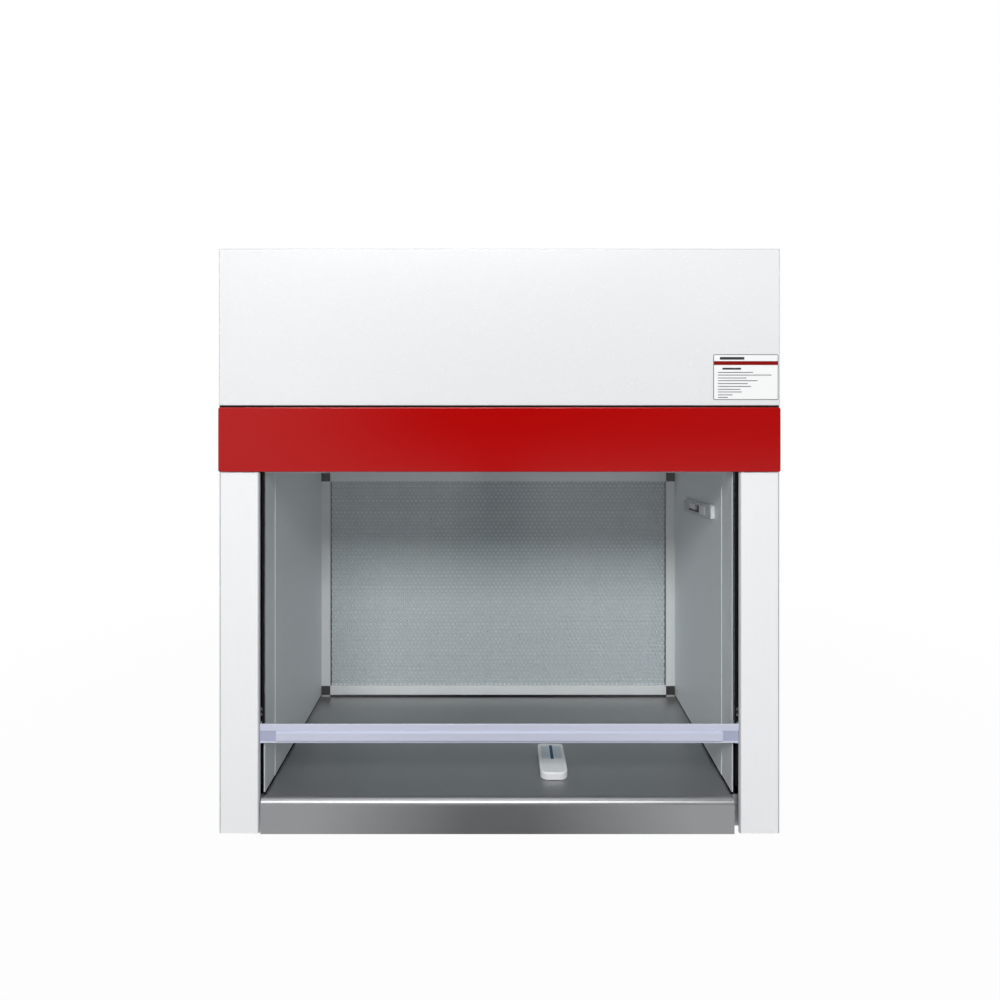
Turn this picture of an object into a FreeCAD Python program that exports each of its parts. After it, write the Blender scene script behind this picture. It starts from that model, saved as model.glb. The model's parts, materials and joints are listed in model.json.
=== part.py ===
import FreeCAD, Part
import math
import os

# Bench-top laminar flow cabinet with a counterbalanced glass sash.
# Millimetres. +Z is up, the front looks towards -Y, and the origin is the
# centre of the footprint on the surface that the cabinet stands on.

# Overall size
width = 850.0
depth = 600.0
height = 885.0

# Outer case, folded from sheet steel
skin = 1.5
bend = 1.5
floor_gap = 1.0
fascia_overhang = 1.0
screw_head_height = 1.5
rear_flange = 16.0
upper_front_flange = 14.0

# Front posts and the slot behind them
post_width = 62.0
post_setback = 2.0
post_return = 6.0

# Control fascia and upper panel
fascia_drop = 337.4
fascia_height = 97.8
fascia_depth = 4.0
fascia_corner = 3.0
panel_gap = 2.4
panel_setback = 1.0
edge_round = 1.5

# Base
foot_height = 3.0
foot_radius = 18.0
foot_inset_x = 60.0
foot_inset_y = 70.0
base_front_setback = 17.5
base_rear_height = 40.0
channel_width = 40.0
shelf_lead = 1.0

# Worktop tray
work_height = 54.0
work_sheet = 1.5
work_front_bend = 11.0
work_left_gap = 2.0
work_right_gap = 8.0
work_depth = 400.0
work_rear_gap = 2.5
work_rear_corner = 10.0
work_rear_turn = 12.0

# Chamber walls and ceiling
chamber_shift = -1.5
wall_gap = 7.6
wall_sheet = 1.2
wall_joggle = 0.5
wall_flange = 0.8
wall_strip_depth = 66.0
wall_flange_depth = 13.0
wall_floor_gap = 4.0
ceiling_drop = 285.0
ceiling_front_turn = 55.0
deck_gap = 6.0
deck_front_setback = 76.0
deck_upturn = 15.0

# Sash: glass, handle, brackets and runners
glass_thickness = 5.0
glass_front_gap = 1.5
glass_side_gap = 6.5
glass_top_rise = 44.2
handle_bottom = 137.0
handle_height = 28.6
handle_front_wall = 2.0
handle_rear_wall = 1.4
handle_rear_drop = 4.0
handle_fit = 0.2
handle_floor = 12.0
handle_wall = 1.5
channel_lift = 3.4
channel_height = 15.2
channel_depth = 1.0
grip_end_gap = 25.5
grip_proud = 3.2
grip_fit = 0.1
end_block_gap = 0.3
end_block_notch = 3.0
end_block_notch_width = 4.0
arm_thickness = 1.4
arm_end_clearance = 0.6
arm_height = 18.0
arm_lift = 4.0
clip_width = 18.0
upper_clip_drop = 48.0
runner_width = 12.6
runner_depth = 13.5
runner_height = 16.0

# Sash rails
rail_bar_width = 7.0
rail_bar_depth = 6.0
rail_sheet = 1.5
rail_plate_setback = 38.0
rail_foot_width = 22.0
rail_bottom = 58.0
rail_top_gap = 9.0
rail_clearance = 0.3

# Cables, pulleys and counterweights
cable_radius = 0.75
cable_side_gap = 4.5
cable_rear_gap = 1.0
eye_radius = 8.0
eye_wire = 1.8
eye_rise = 7.7
eye_tab_thickness = 3.0
eye_tab_drop = 5.6
eye_tab_end = 4.5
eye_tab_half = 3.0
eye_shank_radius = 1.5
pulley_run_radius = 25.0
pulley_flange_radius = 26.5
pulley_thickness = 5.0
pulley_turn_deg = 45.0
pulley_drop = 43.0
pulley_groove_gap = 0.3
pulley_rim = 0.8
axle_radius = 4.0
axle_clearance = 0.05
weight_radius = 18.0
weight_length = 280.0
weight_drop = 485.0
weight_chamfer = 3.0
cheek_gap = 0.3
cheek_boss = 1.2
cheek_thickness = 2.0
cheek_half_height = 14.0
boss_rim = 3.0
axle_head_rim = 2.0
axle_head_height = 2.0
axle_tail = 2.0
cheek_foot_ahead = 8.0
cheek_foot_behind = 34.0
cheek_foot_corner = 4.0

# Screen, filter and plenum
screen_rail = 18.0
screen_rail_depth = 10.0
screen_sheet = 1.0
screen_groove = 4.0
screen_bottom = 57.0
screen_drop = 96.0
screen_clearance = 0.2
filter_setback = 16.0
filter_depth = 68.5
filter_wall = 12.0
filter_side_gap = 1.0
gasket_thickness = 5.0
gasket_width = 15.0
pleat_setback = 6.0
bead_pitch = 25.4
bead_radius = 1.4
partition_sheet = 1.5
plenum_drop = 85.0
window_margin = 10.0

# Blower
blower_x = -30.0
blower_y = 10.0
impeller_radius = 95.0
impeller_inner_radius = 76.0
impeller_height = 90.0
impeller_plate = 2.0
impeller_gap = 6.0
blade_count = 32
blade_thickness = 1.2
hub_radius = 15.0
hub_height = 24.0
scroll_clearance = 17.0
scroll_growth = 16.0
scroll_sheet = 1.5
scroll_height = 110.0
scroll_lift = 54.5
outlet_width = 95.0
tongue_radius = 8.0
shaft_radius = 5.0
motor_radius = 55.0
motor_flange_radius = 68.0
motor_neck_radius = 30.0
leg_radius = 6.0
bell_radius = 14.0
bell_throat_gap = 4.0
bell_flange = 16.0
bell_steps = 3

# Intake grille and pre-filter in the top
well_x = 0.0
well_y = 20.0
well_length = 440.0
well_width = 300.0
well_depth = 32.0
well_ledge = 10.0
drop_in_gap = 1.0
prefilter_height = 20.0
prefilter_lip = 10.0
prefilter_sheet = 1.5
grille_border = 16.0
slat_count = 14
slat_width = 12.0
slat_thickness = 1.2
slat_tilt_deg = 40.0

# Lamps under the ceiling
tube_radius = 8.0
tube_wall_gap = 65.4
tube_drop = 24.0
lamp_setback = 72.0
uv_setback = 110.0
holder_thickness = 10.0
holder_width = 22.0
pin_radius = 1.2
pin_spread = 2.5
pin_length = 6.0
cap_length = 14.0
cap_step = 0.4
tube_end_gap = 0.3
holder_corner = 8.0
holder_reach = 11.0

# Service outlet on the right wall
outlet_setback = 108.0
outlet_length = 188.0
outlet_height = 24.0
outlet_proud = 6.0
outlet_drop = 138.0
outlet_tilt_deg = 4.5
outlet_window_start = 77.0
outlet_window_length = 73.0
outlet_window_height = 13.0
outlet_floor = 1.5
outlet_pad_start = 39.0
outlet_pad_length = 32.0
shutter_length = 43.0
shutter_height = 9.0
shutter_gap = 0.3
shutter_setback = 0.4
outlet_corner = 5.0
outlet_edge = 2.0
outlet_inner_corner = 1.5
outlet_pad_proud = 1.5
outlet_pad_rim = 1.0

# Power inlet at the back
inlet_side_gap = 95.0
inlet_drop = 43.0
inlet_width = 50.0
inlet_height = 62.0
inlet_body_depth = 28.0
inlet_flange = 1.5
inlet_corner = 3.0
inlet_border = 3.3
inlet_hole_border = 3.0
inlet_socket_width = 24.0
inlet_socket_height = 16.5
inlet_socket_depth = 17.0
inlet_socket_lift = 8.0
inlet_socket_corner = 4.0
pin_setback = 5.0
pin_half_width = 1.0
pin_half_height = 2.0
pin_side = 7.0
pin_offset = 2.5
rocker_width = 21.0
rocker_height = 15.0
rocker_pivot_depth = 6.0
rocker_rest_deg = 7.0
rocker_drop = 10.0
rocker_well = 8.0
rocker_side_gap = 0.4
rocker_end_gap = 1.1
rocker_proud = 6.2
rocker_foot = 4.5
rocker_foot_half = 3.5
rocker_shoulder = 1.0
rocker_corner = 0.6
trunnion_radius = 1.5
trunnion_end = 2.0

# Remote control on the worktop
remote_x = 87.0
remote_setback = 57.0
remote_length = 104.0
remote_width = 43.5
remote_height = 12.0
remote_near_corner = 13.0
remote_far_corner = 7.0
remote_edge = 2.2
remote_rim = 3.6
remote_wall = 1.6
remote_stand = 0.3
keypad_thickness = 0.5

# Control box in the top housing
box_inset = 110.0
box_y = -40.0
box_length = 190.0
box_depth = 200.0
box_height = 85.0
box_sheet = 1.5
box_corner = 4.0

# Screws
screw_radius = 2.0
screw_head_radius = 3.6
screw_clearance = 0.2
screw_end_gap = 72.5

# Places worked out from the sizes above
front = -depth / 2
back = depth / 2
opening_half = width / 2 - post_width
wall_half = opening_half - wall_gap
fascia_bottom = height - fascia_drop
ceiling_height = height - ceiling_drop
screen_top = ceiling_height - screen_drop
outlet_centre_z = ceiling_height - outlet_drop
upper_clip_height = ceiling_height - upper_clip_drop
weight_bottom = height - weight_drop
glass_half = opening_half - glass_side_gap
grip_half = opening_half - grip_end_gap
tube_half_length = wall_half - tube_wall_gap
box_x = width / 2 - box_inset
inlet_x = width / 2 - inlet_side_gap
lamp_y = front + lamp_setback
uv_y = front + uv_setback
outlet_near_y = front + outlet_setback
remote_near_y = front + remote_setback
case_half = width / 2 - fascia_overhang
case_inner = case_half - skin
case_rear = back - screw_head_height
rear_plane = case_rear - skin
flange_front = rear_plane - skin
case_top = height - skin
pulley_height = height - pulley_drop
plenum_top = height - plenum_drop
inlet_z = height - inlet_drop
screw_heights = (screw_end_gap, height / 2, height - screw_end_gap)
rail_top = pulley_height - pulley_flange_radius - rail_top_gap
post_front = front + post_setback
post_top = fascia_bottom - floor_gap
upper_flange_y = front + fascia_depth
base_top = foot_height + skin
base_front = front + base_front_setback
screen_front = front + work_depth
wall_bottom = work_height + wall_floor_gap
wall_top = ceiling_height + deck_gap
wall_flange_y = front + wall_flange_depth
wall_strip = wall_half + wall_joggle
wall_strip_outer = wall_strip + wall_sheet
wall_joggle_y = front + wall_strip_depth
glass_front = upper_flange_y + glass_front_gap
glass_rear = glass_front + glass_thickness
glass_bottom = handle_bottom + handle_floor + handle_fit
glass_top = ceiling_height + glass_top_rise
handle_top = handle_bottom + handle_height
handle_front = glass_front - handle_fit - handle_front_wall
handle_rear = glass_rear + handle_fit + handle_rear_wall
handle_half = glass_half + end_block_gap
channel_bottom = handle_bottom + channel_lift
channel_top = channel_bottom + channel_height
arm_outer = opening_half - arm_end_clearance
arm_inner = arm_outer - arm_thickness
rail_plate_y = front + rail_plate_setback
filter_front = screen_front + filter_setback
filter_rear = filter_front + filter_depth
partition_y = filter_rear + gasket_thickness
filter_half = wall_half - filter_side_gap
filter_bottom = screen_bottom
filter_top = screen_top - 0.5
cable_x = opening_half + cable_side_gap
cable_y = glass_rear + cable_rear_gap
pulley_cos = math.cos(math.radians(pulley_turn_deg))
pulley_sin = math.sin(math.radians(pulley_turn_deg))
deck_top = wall_top + skin
scroll_bottom = deck_top + scroll_lift
scroll_top = scroll_bottom + scroll_height
impeller_bottom = scroll_bottom + impeller_gap
impeller_top = impeller_bottom + impeller_height
well_bottom = height - well_depth
prefilter_bottom = well_bottom + skin
prefilter_top = prefilter_bottom + prefilter_height
eye_tab_top = handle_top - eye_tab_drop + eye_tab_thickness
eye_centre = handle_top + eye_rise + eye_radius
eye_top = eye_centre + eye_radius
remote_bottom = work_height + remote_stand

parts = {}


def box(x0, x1, y0, y1, z0, z1):
    """Block between two corners."""
    return Part.makeBox(x1 - x0, y1 - y0, z1 - z0, FreeCAD.Vector(x0, y0, z0))


def rod(start, direction, radius, length):
    """Round bar from a point along a direction."""
    return Part.makeCylinder(radius, length, FreeCAD.Vector(*start), FreeCAD.Vector(*direction))


def in_plane(plane, u, v):
    """Point of a drawing plane in space."""
    if plane == "XY":
        return FreeCAD.Vector(u, v, 0)
    if plane == "YZ":
        return FreeCAD.Vector(0, u, v)
    return FreeCAD.Vector(u, 0, v)


def normal_of(plane):
    """Direction in which a drawing of the plane is extruded."""
    normals = {"XY": (0, 0, 1), "YZ": (1, 0, 0), "XZ": (0, 1, 0)}
    return FreeCAD.Vector(*normals[plane])


def corner(before, point, after, radius):
    """Start, middle and end of the arc that rounds a corner of an outline."""
    u1 = (point[0] - before[0], point[1] - before[1])
    u2 = (after[0] - point[0], after[1] - point[1])
    l1 = math.hypot(*u1)
    l2 = math.hypot(*u2)
    u1 = (u1[0] / l1, u1[1] / l1)
    u2 = (u2[0] / l2, u2[1] / l2)
    turn = math.atan2(u1[0] * u2[1] - u1[1] * u2[0], u1[0] * u2[0] + u1[1] * u2[1])
    half = abs(turn) / 2
    cut = radius * math.tan(half)
    reach = radius / math.cos(half) - radius
    across = (u2[0] - u1[0], u2[1] - u1[1])
    size = math.hypot(*across)
    start = (point[0] - u1[0] * cut, point[1] - u1[1] * cut)
    end = (point[0] + u2[0] * cut, point[1] + u2[1] * cut)
    middle = (point[0] + across[0] / size * reach, point[1] + across[1] / size * reach)
    return start, middle, end


def outline_edges(points, radii, plane, closed):
    """Lines and corner arcs through the points; a radius of 0 leaves a sharp corner."""
    count = len(points)
    edges = []
    last = None
    first = None
    for i in range(count):
        point = points[i]
        radius = radii[i] if closed or 0 < i < count - 1 else 0
        if radius > 0:
            start, middle, end = corner(points[i - 1], point, points[(i + 1) % count], radius)
        else:
            start = middle = end = point
        if last is not None and math.hypot(start[0] - last[0], start[1] - last[1]) > 1e-6:
            edges.append(Part.LineSegment(in_plane(plane, *last), in_plane(plane, *start)).toShape())
        if radius > 0:
            arc = Part.Arc(in_plane(plane, *start), in_plane(plane, *middle), in_plane(plane, *end))
            edges.append(arc.toShape())
        if first is None:
            first = start
        last = end
    if closed and math.hypot(first[0] - last[0], first[1] - last[1]) > 1e-6:
        edges.append(Part.LineSegment(in_plane(plane, *last), in_plane(plane, *first)).toShape())
    return edges


def prism(points, radii, plane, start, end):
    """Closed outline with rounded corners, extruded from start to end across its plane."""
    if not isinstance(radii, (list, tuple)):
        radii = [radii] * len(points)
    wire = Part.Wire(outline_edges(points, radii, plane, True))
    normal = normal_of(plane)
    solid = Part.Face(wire).extrude(normal * (end - start))
    solid.translate(normal * start)
    return solid


def rectangle(u0, u1, v0, v1):
    """Corners of a rectangle, in order."""
    return [(u0, v0), (u1, v0), (u1, v1), (u0, v1)]


def offset_points(points, distance):
    """The open polyline moved to its left by a distance, corner by corner."""
    moved = []
    for i in range(len(points)):
        normals = []
        for a, b in ((i - 1, i), (i, i + 1)):
            if a >= 0 and b < len(points):
                du = points[b][0] - points[a][0]
                dv = points[b][1] - points[a][1]
                size = math.hypot(du, dv)
                normals.append((-dv / size, du / size))
        if len(normals) == 1:
            shift = normals[0]
        else:
            total = (normals[0][0] + normals[1][0], normals[0][1] + normals[1][1])
            scale = 2 / (total[0] ** 2 + total[1] ** 2)
            shift = (total[0] * scale, total[1] * scale)
        moved.append((points[i][0] + shift[0] * distance, points[i][1] + shift[1] * distance))
    return moved


def bent_sheet(points, inside_bend, thickness, plane, start, end):
    """Folded sheet: the polyline is one face. The sheet lies to its left, or to its right if negative."""
    other = offset_points(points, thickness)
    if not isinstance(inside_bend, (list, tuple)):
        inside_bend = [inside_bend] * len(points)
    radii = []
    other_radii = []
    for i in range(len(points)):
        if i in (0, len(points) - 1):
            radii.append(0)
            other_radii.append(0)
            continue
        u1 = (points[i][0] - points[i - 1][0], points[i][1] - points[i - 1][1])
        u2 = (points[i + 1][0] - points[i][0], points[i + 1][1] - points[i][1])
        turns_left = u1[0] * u2[1] - u1[1] * u2[0] > 0
        path_inside = turns_left != (thickness > 0)
        radii.append(inside_bend[i] + (0 if path_inside else abs(thickness)))
        other_radii.append(inside_bend[i] + (abs(thickness) if path_inside else 0))
    return prism(points + other[::-1], radii + other_radii[::-1], plane, start, end)


def mirrored(shape):
    """The same piece for the left side."""
    return shape.mirror(FreeCAD.Vector(0, 0, 0), FreeCAD.Vector(1, 0, 0))


def sided(name, right_shape):
    """Keep a piece of the right side and its mirror image on the left."""
    parts["right_" + name] = right_shape
    parts["left_" + name] = mirrored(right_shape)


def group(shapes):
    """Several separate solids in one node."""
    return Part.makeCompound(shapes)


def case_screw_places():
    """Centres of the screws that hold the rear cover, as X and Z."""
    x = case_half - rear_flange / 2
    return [(side * x, z) for side in (-1, 1) for z in screw_heights]


def build_base():
    outline = [
        (base_front, work_height - work_sheet),
        (base_front, foot_height),
        (flange_front, foot_height),
        (flange_front, base_rear_height),
    ]
    pan = bent_sheet(outline, bend, skin, "YZ", -case_inner, case_inner)
    for side in (-1, 1):
        x = side * case_inner
        pan = pan.cut(box(min(x, x - side * 2 * bend), max(x, x - side * 2 * bend),
                          flange_front - 2 * bend, rear_plane, 0, work_height))
    parts["base_pan"] = pan

    shelf_outline = [
        (screen_front - shelf_lead, base_top),
        (screen_front - shelf_lead, screen_bottom),
        (partition_y, screen_bottom),
        (partition_y, base_top),
    ]
    parts["filter_shelf"] = bent_sheet(shelf_outline, bend, -skin, "YZ", -wall_half, wall_half)

    channels = []
    for x in (-wall_half * 2 / 3, 0.0, wall_half * 2 / 3):
        outline = [
            (x - channel_width / 2, base_top),
            (x - channel_width / 2, work_height - work_sheet),
            (x + channel_width / 2, work_height - work_sheet),
            (x + channel_width / 2, base_top),
        ]
        channels.append(bent_sheet(outline, bend, -skin, "XZ", base_front + 2 * skin,
                                   screen_front - work_rear_gap - 2 * work_sheet))
    parts["worktop_supports"] = group(channels)

    feet = []
    for x in (-1, 1):
        for y in (-1, 1):
            place = (x * (case_half - foot_inset_x), y * (back - foot_inset_y), 0)
            foot = rod(place, (0, 0, 1), foot_radius, foot_height)
            feet.append(foot.makeChamfer(1.0, [foot.Edges[2]]))
    parts["rubber_feet"] = group(feet)


def build_side_covers():
    lower = [
        (opening_half, post_front + post_return),
        (opening_half, post_front),
        (case_half, post_front),
        (case_half, rear_plane),
        (case_half - rear_flange, rear_plane),
    ]
    upper = [
        (case_half - upper_front_flange, upper_flange_y),
        (case_half, upper_flange_y),
        (case_half, rear_plane),
        (case_half - rear_flange, rear_plane),
    ]
    lower_sheet = bent_sheet(lower, bend, skin, "XY", floor_gap, post_top)
    upper_sheet = bent_sheet(upper, bend, skin, "XY", post_top, case_top)
    cover = lower_sheet.fuse(upper_sheet).removeSplitter()
    for x, z in case_screw_places():
        if x > 0:
            hole_radius = screw_radius + screw_clearance
            cover = cover.cut(rod((x, flange_front - 1, z), (0, 1, 0), hole_radius, skin + 2))
    sided("side_cover", cover)


def build_rear_cover():
    cover = box(-case_half, case_half, rear_plane, case_rear, floor_gap, case_top)
    margin = inlet_hole_border
    cover = cover.cut(box(inlet_x - inlet_width / 2 + margin, inlet_x + inlet_width / 2 - margin,
                          rear_plane - 1, case_rear + 1,
                          inlet_z - inlet_height / 2 + margin, inlet_z + inlet_height / 2 - margin))
    for x, z in case_screw_places():
        cover = cover.cut(rod((x, rear_plane - 1, z), (0, 1, 0), screw_radius + screw_clearance, skin + 2))
    parts["rear_cover"] = cover

    screws = []
    for x, z in case_screw_places():
        shank = rod((x, flange_front - 3, z), (0, 1, 0), screw_radius, 2 * skin + 3)
        head = rod((x, case_rear, z), (0, 1, 0), screw_head_radius, screw_head_height)
        rim = [e for e in head.Edges if e.BoundBox.YMin > case_rear + screw_head_height - 1e-6]
        head = head.makeChamfer(screw_head_height * 0.5, rim)
        screws.append(shank.fuse(head))
    parts["case_screws"] = group(screws)


def front_pan(half, bottom, top, face, rear, corner_radius):
    """Shallow folded front: a plate with rounded corners and short returns to the rear."""
    outer = prism(rectangle(-half, half, bottom, top), corner_radius, "XZ", face, rear)
    front_edges = []
    for edge in outer.Edges:
        reach = edge.BoundBox
        if abs(reach.YMax - face) < 1e-6 and abs(reach.YMin - face) < 1e-6:
            front_edges.append(edge)
    outer = outer.makeFillet(edge_round, front_edges)
    inner = prism(rectangle(-half + skin, half - skin, bottom + skin, top - skin),
                  max(corner_radius - skin, 0.5), "XZ", face + skin, rear + 1)
    return outer.cut(inner)


def build_front():
    parts["control_fascia"] = front_pan(width / 2, fascia_bottom, fascia_bottom + fascia_height,
                                        front, upper_flange_y, fascia_corner)
    parts["upper_front_panel"] = front_pan(case_half, fascia_bottom + fascia_height + panel_gap, height,
                                           front + panel_setback, upper_flange_y, 1.5)


def build_top():
    x0 = well_x - well_length / 2
    x1 = well_x + well_length / 2
    y0 = well_y - well_width / 2
    y1 = well_y + well_width / 2
    plate = box(-case_half, case_half, upper_flange_y, case_rear, case_top, height)
    well = box(x0 - skin, x1 + skin, y0 - skin, y1 + skin, well_bottom, height)
    cover = plate.fuse(well).cut(box(x0, x1, y0, y1, well_bottom + skin, height + 1))
    ledge_hole = box(x0 + well_ledge, x1 - well_ledge, y0 + well_ledge, y1 - well_ledge,
                     well_bottom - 1, height)
    parts["top_cover"] = cover.cut(ledge_hole).removeSplitter()

    gx0, gx1 = x0 + drop_in_gap, x1 - drop_in_gap
    gy0, gy1 = y0 + drop_in_gap, y1 - drop_in_gap
    casing = box(gx0, gx1, gy0, gy1, prefilter_bottom, prefilter_top)
    pocket = box(gx0 + prefilter_sheet, gx1 - prefilter_sheet, gy0 + prefilter_sheet, gy1 - prefilter_sheet,
                 prefilter_bottom + prefilter_sheet, prefilter_top - prefilter_sheet)
    through = box(gx0 + prefilter_lip, gx1 - prefilter_lip, gy0 + prefilter_lip, gy1 - prefilter_lip,
                  prefilter_bottom - 1, prefilter_top + 1)
    parts["prefilter_frame"] = casing.cut(pocket).cut(through)
    fit = prefilter_sheet + 0.3
    parts["prefilter_media"] = box(gx0 + fit, gx1 - fit, gy0 + fit, gy1 - fit,
                                   prefilter_bottom + fit, prefilter_top - fit)

    frame = box(gx0, gx1, gy0, gy1, prefilter_top, height)
    bx0, bx1 = gx0 + grille_border, gx1 - grille_border
    by0, by1 = gy0 + grille_border, gy1 - grille_border
    frame = frame.cut(box(bx0, bx1, by0, by1, prefilter_top - 1, height + 1))
    middle_z = (prefilter_top + height) / 2
    pitch = (by1 - by0) / slat_count
    slats = []
    for i in range(slat_count):
        slat = box(bx0 - 1, bx1 + 1, -slat_thickness / 2, slat_thickness / 2, -slat_width / 2, slat_width / 2)
        slat.rotate(FreeCAD.Vector(0, 0, 0), FreeCAD.Vector(1, 0, 0), slat_tilt_deg)
        slat.translate(FreeCAD.Vector(0, by0 + (i + 0.5) * pitch, middle_z))
        slats.append(slat)
    parts["intake_grille"] = frame.multiFuse(slats)


def build_worktop():
    left = -opening_half + work_left_gap
    right = opening_half - work_right_gap
    rear = screen_front - work_rear_gap
    outline = [
        (front, floor_gap),
        (front, work_height),
        (rear, work_height),
        (rear, work_height - work_rear_turn),
    ]
    tray = bent_sheet(outline, [0, work_front_bend - work_sheet, bend, 0], -work_sheet, "YZ", left, right)
    plan = prism([(left, front), (right, front), (right, rear), (left, rear)],
                 [0, 0, work_rear_corner, work_rear_corner], "XY", 0, work_height + 1)
    parts["worktop"] = tray.common(plan)


def build_chamber():
    outline = [
        (wall_strip + wall_sheet + wall_flange, wall_flange_y),
        (wall_strip, wall_flange_y),
        (wall_strip, wall_joggle_y),
        (wall_half, wall_joggle_y + wall_joggle),
        (wall_half, partition_y),
    ]
    wall = bent_sheet(outline, [0, 0.4, 0.3, 0.3, 0], -wall_sheet, "XY", wall_bottom, wall_top)
    parts["left_inner_wall"] = mirrored(wall)
    parts["right_inner_wall"] = wall

    front_y = wall_flange_y + wall_sheet
    ceiling_outline = [
        (front_y, ceiling_height - ceiling_front_turn),
        (front_y, ceiling_height),
        (screen_front, ceiling_height),
        (screen_front, screen_top),
    ]
    ceiling = bent_sheet(ceiling_outline, bend, -wall_sheet, "YZ", -wall_strip, wall_strip)
    plan = box(-wall_strip, wall_strip, front_y, wall_joggle_y, 0, height)
    plan = plan.fuse(box(-wall_half, wall_half, front_y, partition_y, 0, height))
    parts["chamber_ceiling"] = ceiling.common(plan).removeSplitter()


def build_screen():
    y0 = screen_front
    y1 = y0 + screen_rail_depth
    inner = wall_half - screen_rail
    groove_y = y0 + screen_rail_depth / 2
    groove = box(-inner - screen_groove, inner + screen_groove, groove_y - screen_clearance,
                 groove_y + screen_sheet + screen_clearance,
                 screen_bottom + screen_rail - screen_groove, screen_top - screen_rail + screen_groove)
    side_rails = []
    end_rails = []
    for side in (-1, 1):
        x = side * (inner + screen_rail / 2)
        rail = prism(rectangle(x - screen_rail / 2, x + screen_rail / 2, y0, y1), 0.8, "XY",
                     screen_bottom + screen_rail, screen_top - screen_rail)
        side_rails.append(rail.cut(groove))
    for z in (screen_bottom, screen_top - screen_rail):
        rail = prism(rectangle(y0, y1, z, z + screen_rail), 0.8, "YZ", -inner, inner)
        end_rails.append(rail.cut(groove))
    parts["screen_side_rails"] = group(side_rails)
    parts["screen_end_rails"] = group(end_rails)

    blocks = []
    for side in (-1, 1):
        for z in (screen_bottom, screen_top - screen_rail):
            x = side * (inner + screen_rail / 2)
            block = box(x - screen_rail / 2, x + screen_rail / 2, y0, y1, z, z + screen_rail)
            front_edges = [e for e in block.Edges if e.BoundBox.YMax < y0 + 1e-6]
            blocks.append(block.makeChamfer(0.5, front_edges).cut(groove))
    parts["screen_corner_blocks"] = group(blocks)
    reach = screen_groove - screen_clearance
    parts["perforated_screen"] = box(-inner - reach, inner + reach, groove_y, groove_y + screen_sheet,
                                     screen_bottom + screen_rail - reach, screen_top - screen_rail + reach)


def build_filter():
    outer = box(-filter_half, filter_half, filter_front, filter_rear, filter_bottom, filter_top)
    x = filter_half - filter_wall
    z0 = filter_bottom + filter_wall
    z1 = filter_top - filter_wall
    parts["filter_frame"] = outer.cut(box(-x, x, filter_front - 1, filter_rear + 1, z0, z1))
    pack_front = filter_front + pleat_setback
    parts["filter_pleat_pack"] = box(-x, x, pack_front, filter_rear - pleat_setback, z0, z1)
    beads = []
    count = int((z1 - z0 - bead_pitch / 2) / bead_pitch)
    first = (z0 + z1) / 2 - (count - 1) * bead_pitch / 2
    for i in range(count):
        z = first + i * bead_pitch
        bead = rod((-x, pack_front, z), (1, 0, 0), bead_radius, 2 * x)
        beads.append(bead.cut(box(-x - 1, x + 1, pack_front, pack_front + 2 * bead_radius,
                                  z - 2 * bead_radius, z + 2 * bead_radius)))
    parts["filter_glue_beads"] = group(beads)
    ring = box(-filter_half, filter_half, filter_rear, partition_y, filter_bottom, filter_top)
    parts["filter_gasket"] = ring.cut(box(-filter_half + gasket_width, filter_half - gasket_width,
                                          filter_rear - 1, partition_y + 1,
                                          filter_bottom + gasket_width, filter_top - gasket_width))


def scroll_outline(inset):
    """Spiral of three quarter arcs, the outlet duct and the tongue, drawn inset from the outer skin."""
    r1 = impeller_radius + scroll_clearance
    r2 = r1 + scroll_growth
    r3 = r2 + scroll_growth
    c1 = (blower_x, blower_y)
    c2 = (c1[0] + scroll_growth, c1[1])
    c3 = (c2[0], c2[1] + scroll_growth)
    right = c3[0] + r3
    left_of_duct = right - outlet_width
    mouth = partition_y + (1 if inset else 0)
    quarter = math.sqrt(0.5)
    edges = []

    def arc(centre, radius, start_deg):
        radius = radius - inset
        points = []
        for turn in (0, 45, 90):
            angle = math.radians(start_deg + turn)
            points.append(FreeCAD.Vector(centre[0] + radius * math.cos(angle),
                                         centre[1] + radius * math.sin(angle), 0))
        edges.append(Part.Arc(*points).toShape())
        return points[0], points[2]

    top, side = arc(c1, r1, 90)
    arc(c2, r2, 180)
    low, far = arc(c3, r3, 270)
    tongue = tongue_radius + inset
    corner_x = left_of_duct + inset
    corner_y = top.y
    p_right = FreeCAD.Vector(right - inset, mouth, 0)
    p_left = FreeCAD.Vector(corner_x, mouth, 0)
    p_up = FreeCAD.Vector(corner_x, corner_y + tongue, 0)
    p_mid = FreeCAD.Vector(corner_x - tongue * (1 - quarter), corner_y + tongue * (1 - quarter), 0)
    p_end = FreeCAD.Vector(corner_x - tongue, corner_y, 0)
    edges.append(Part.LineSegment(far, p_right).toShape())
    edges.append(Part.LineSegment(p_right, p_left).toShape())
    edges.append(Part.LineSegment(p_left, p_up).toShape())
    edges.append(Part.Arc(p_up, p_mid, p_end).toShape())
    edges.append(Part.LineSegment(p_end, top).toShape())
    return edges, left_of_duct, right


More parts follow.
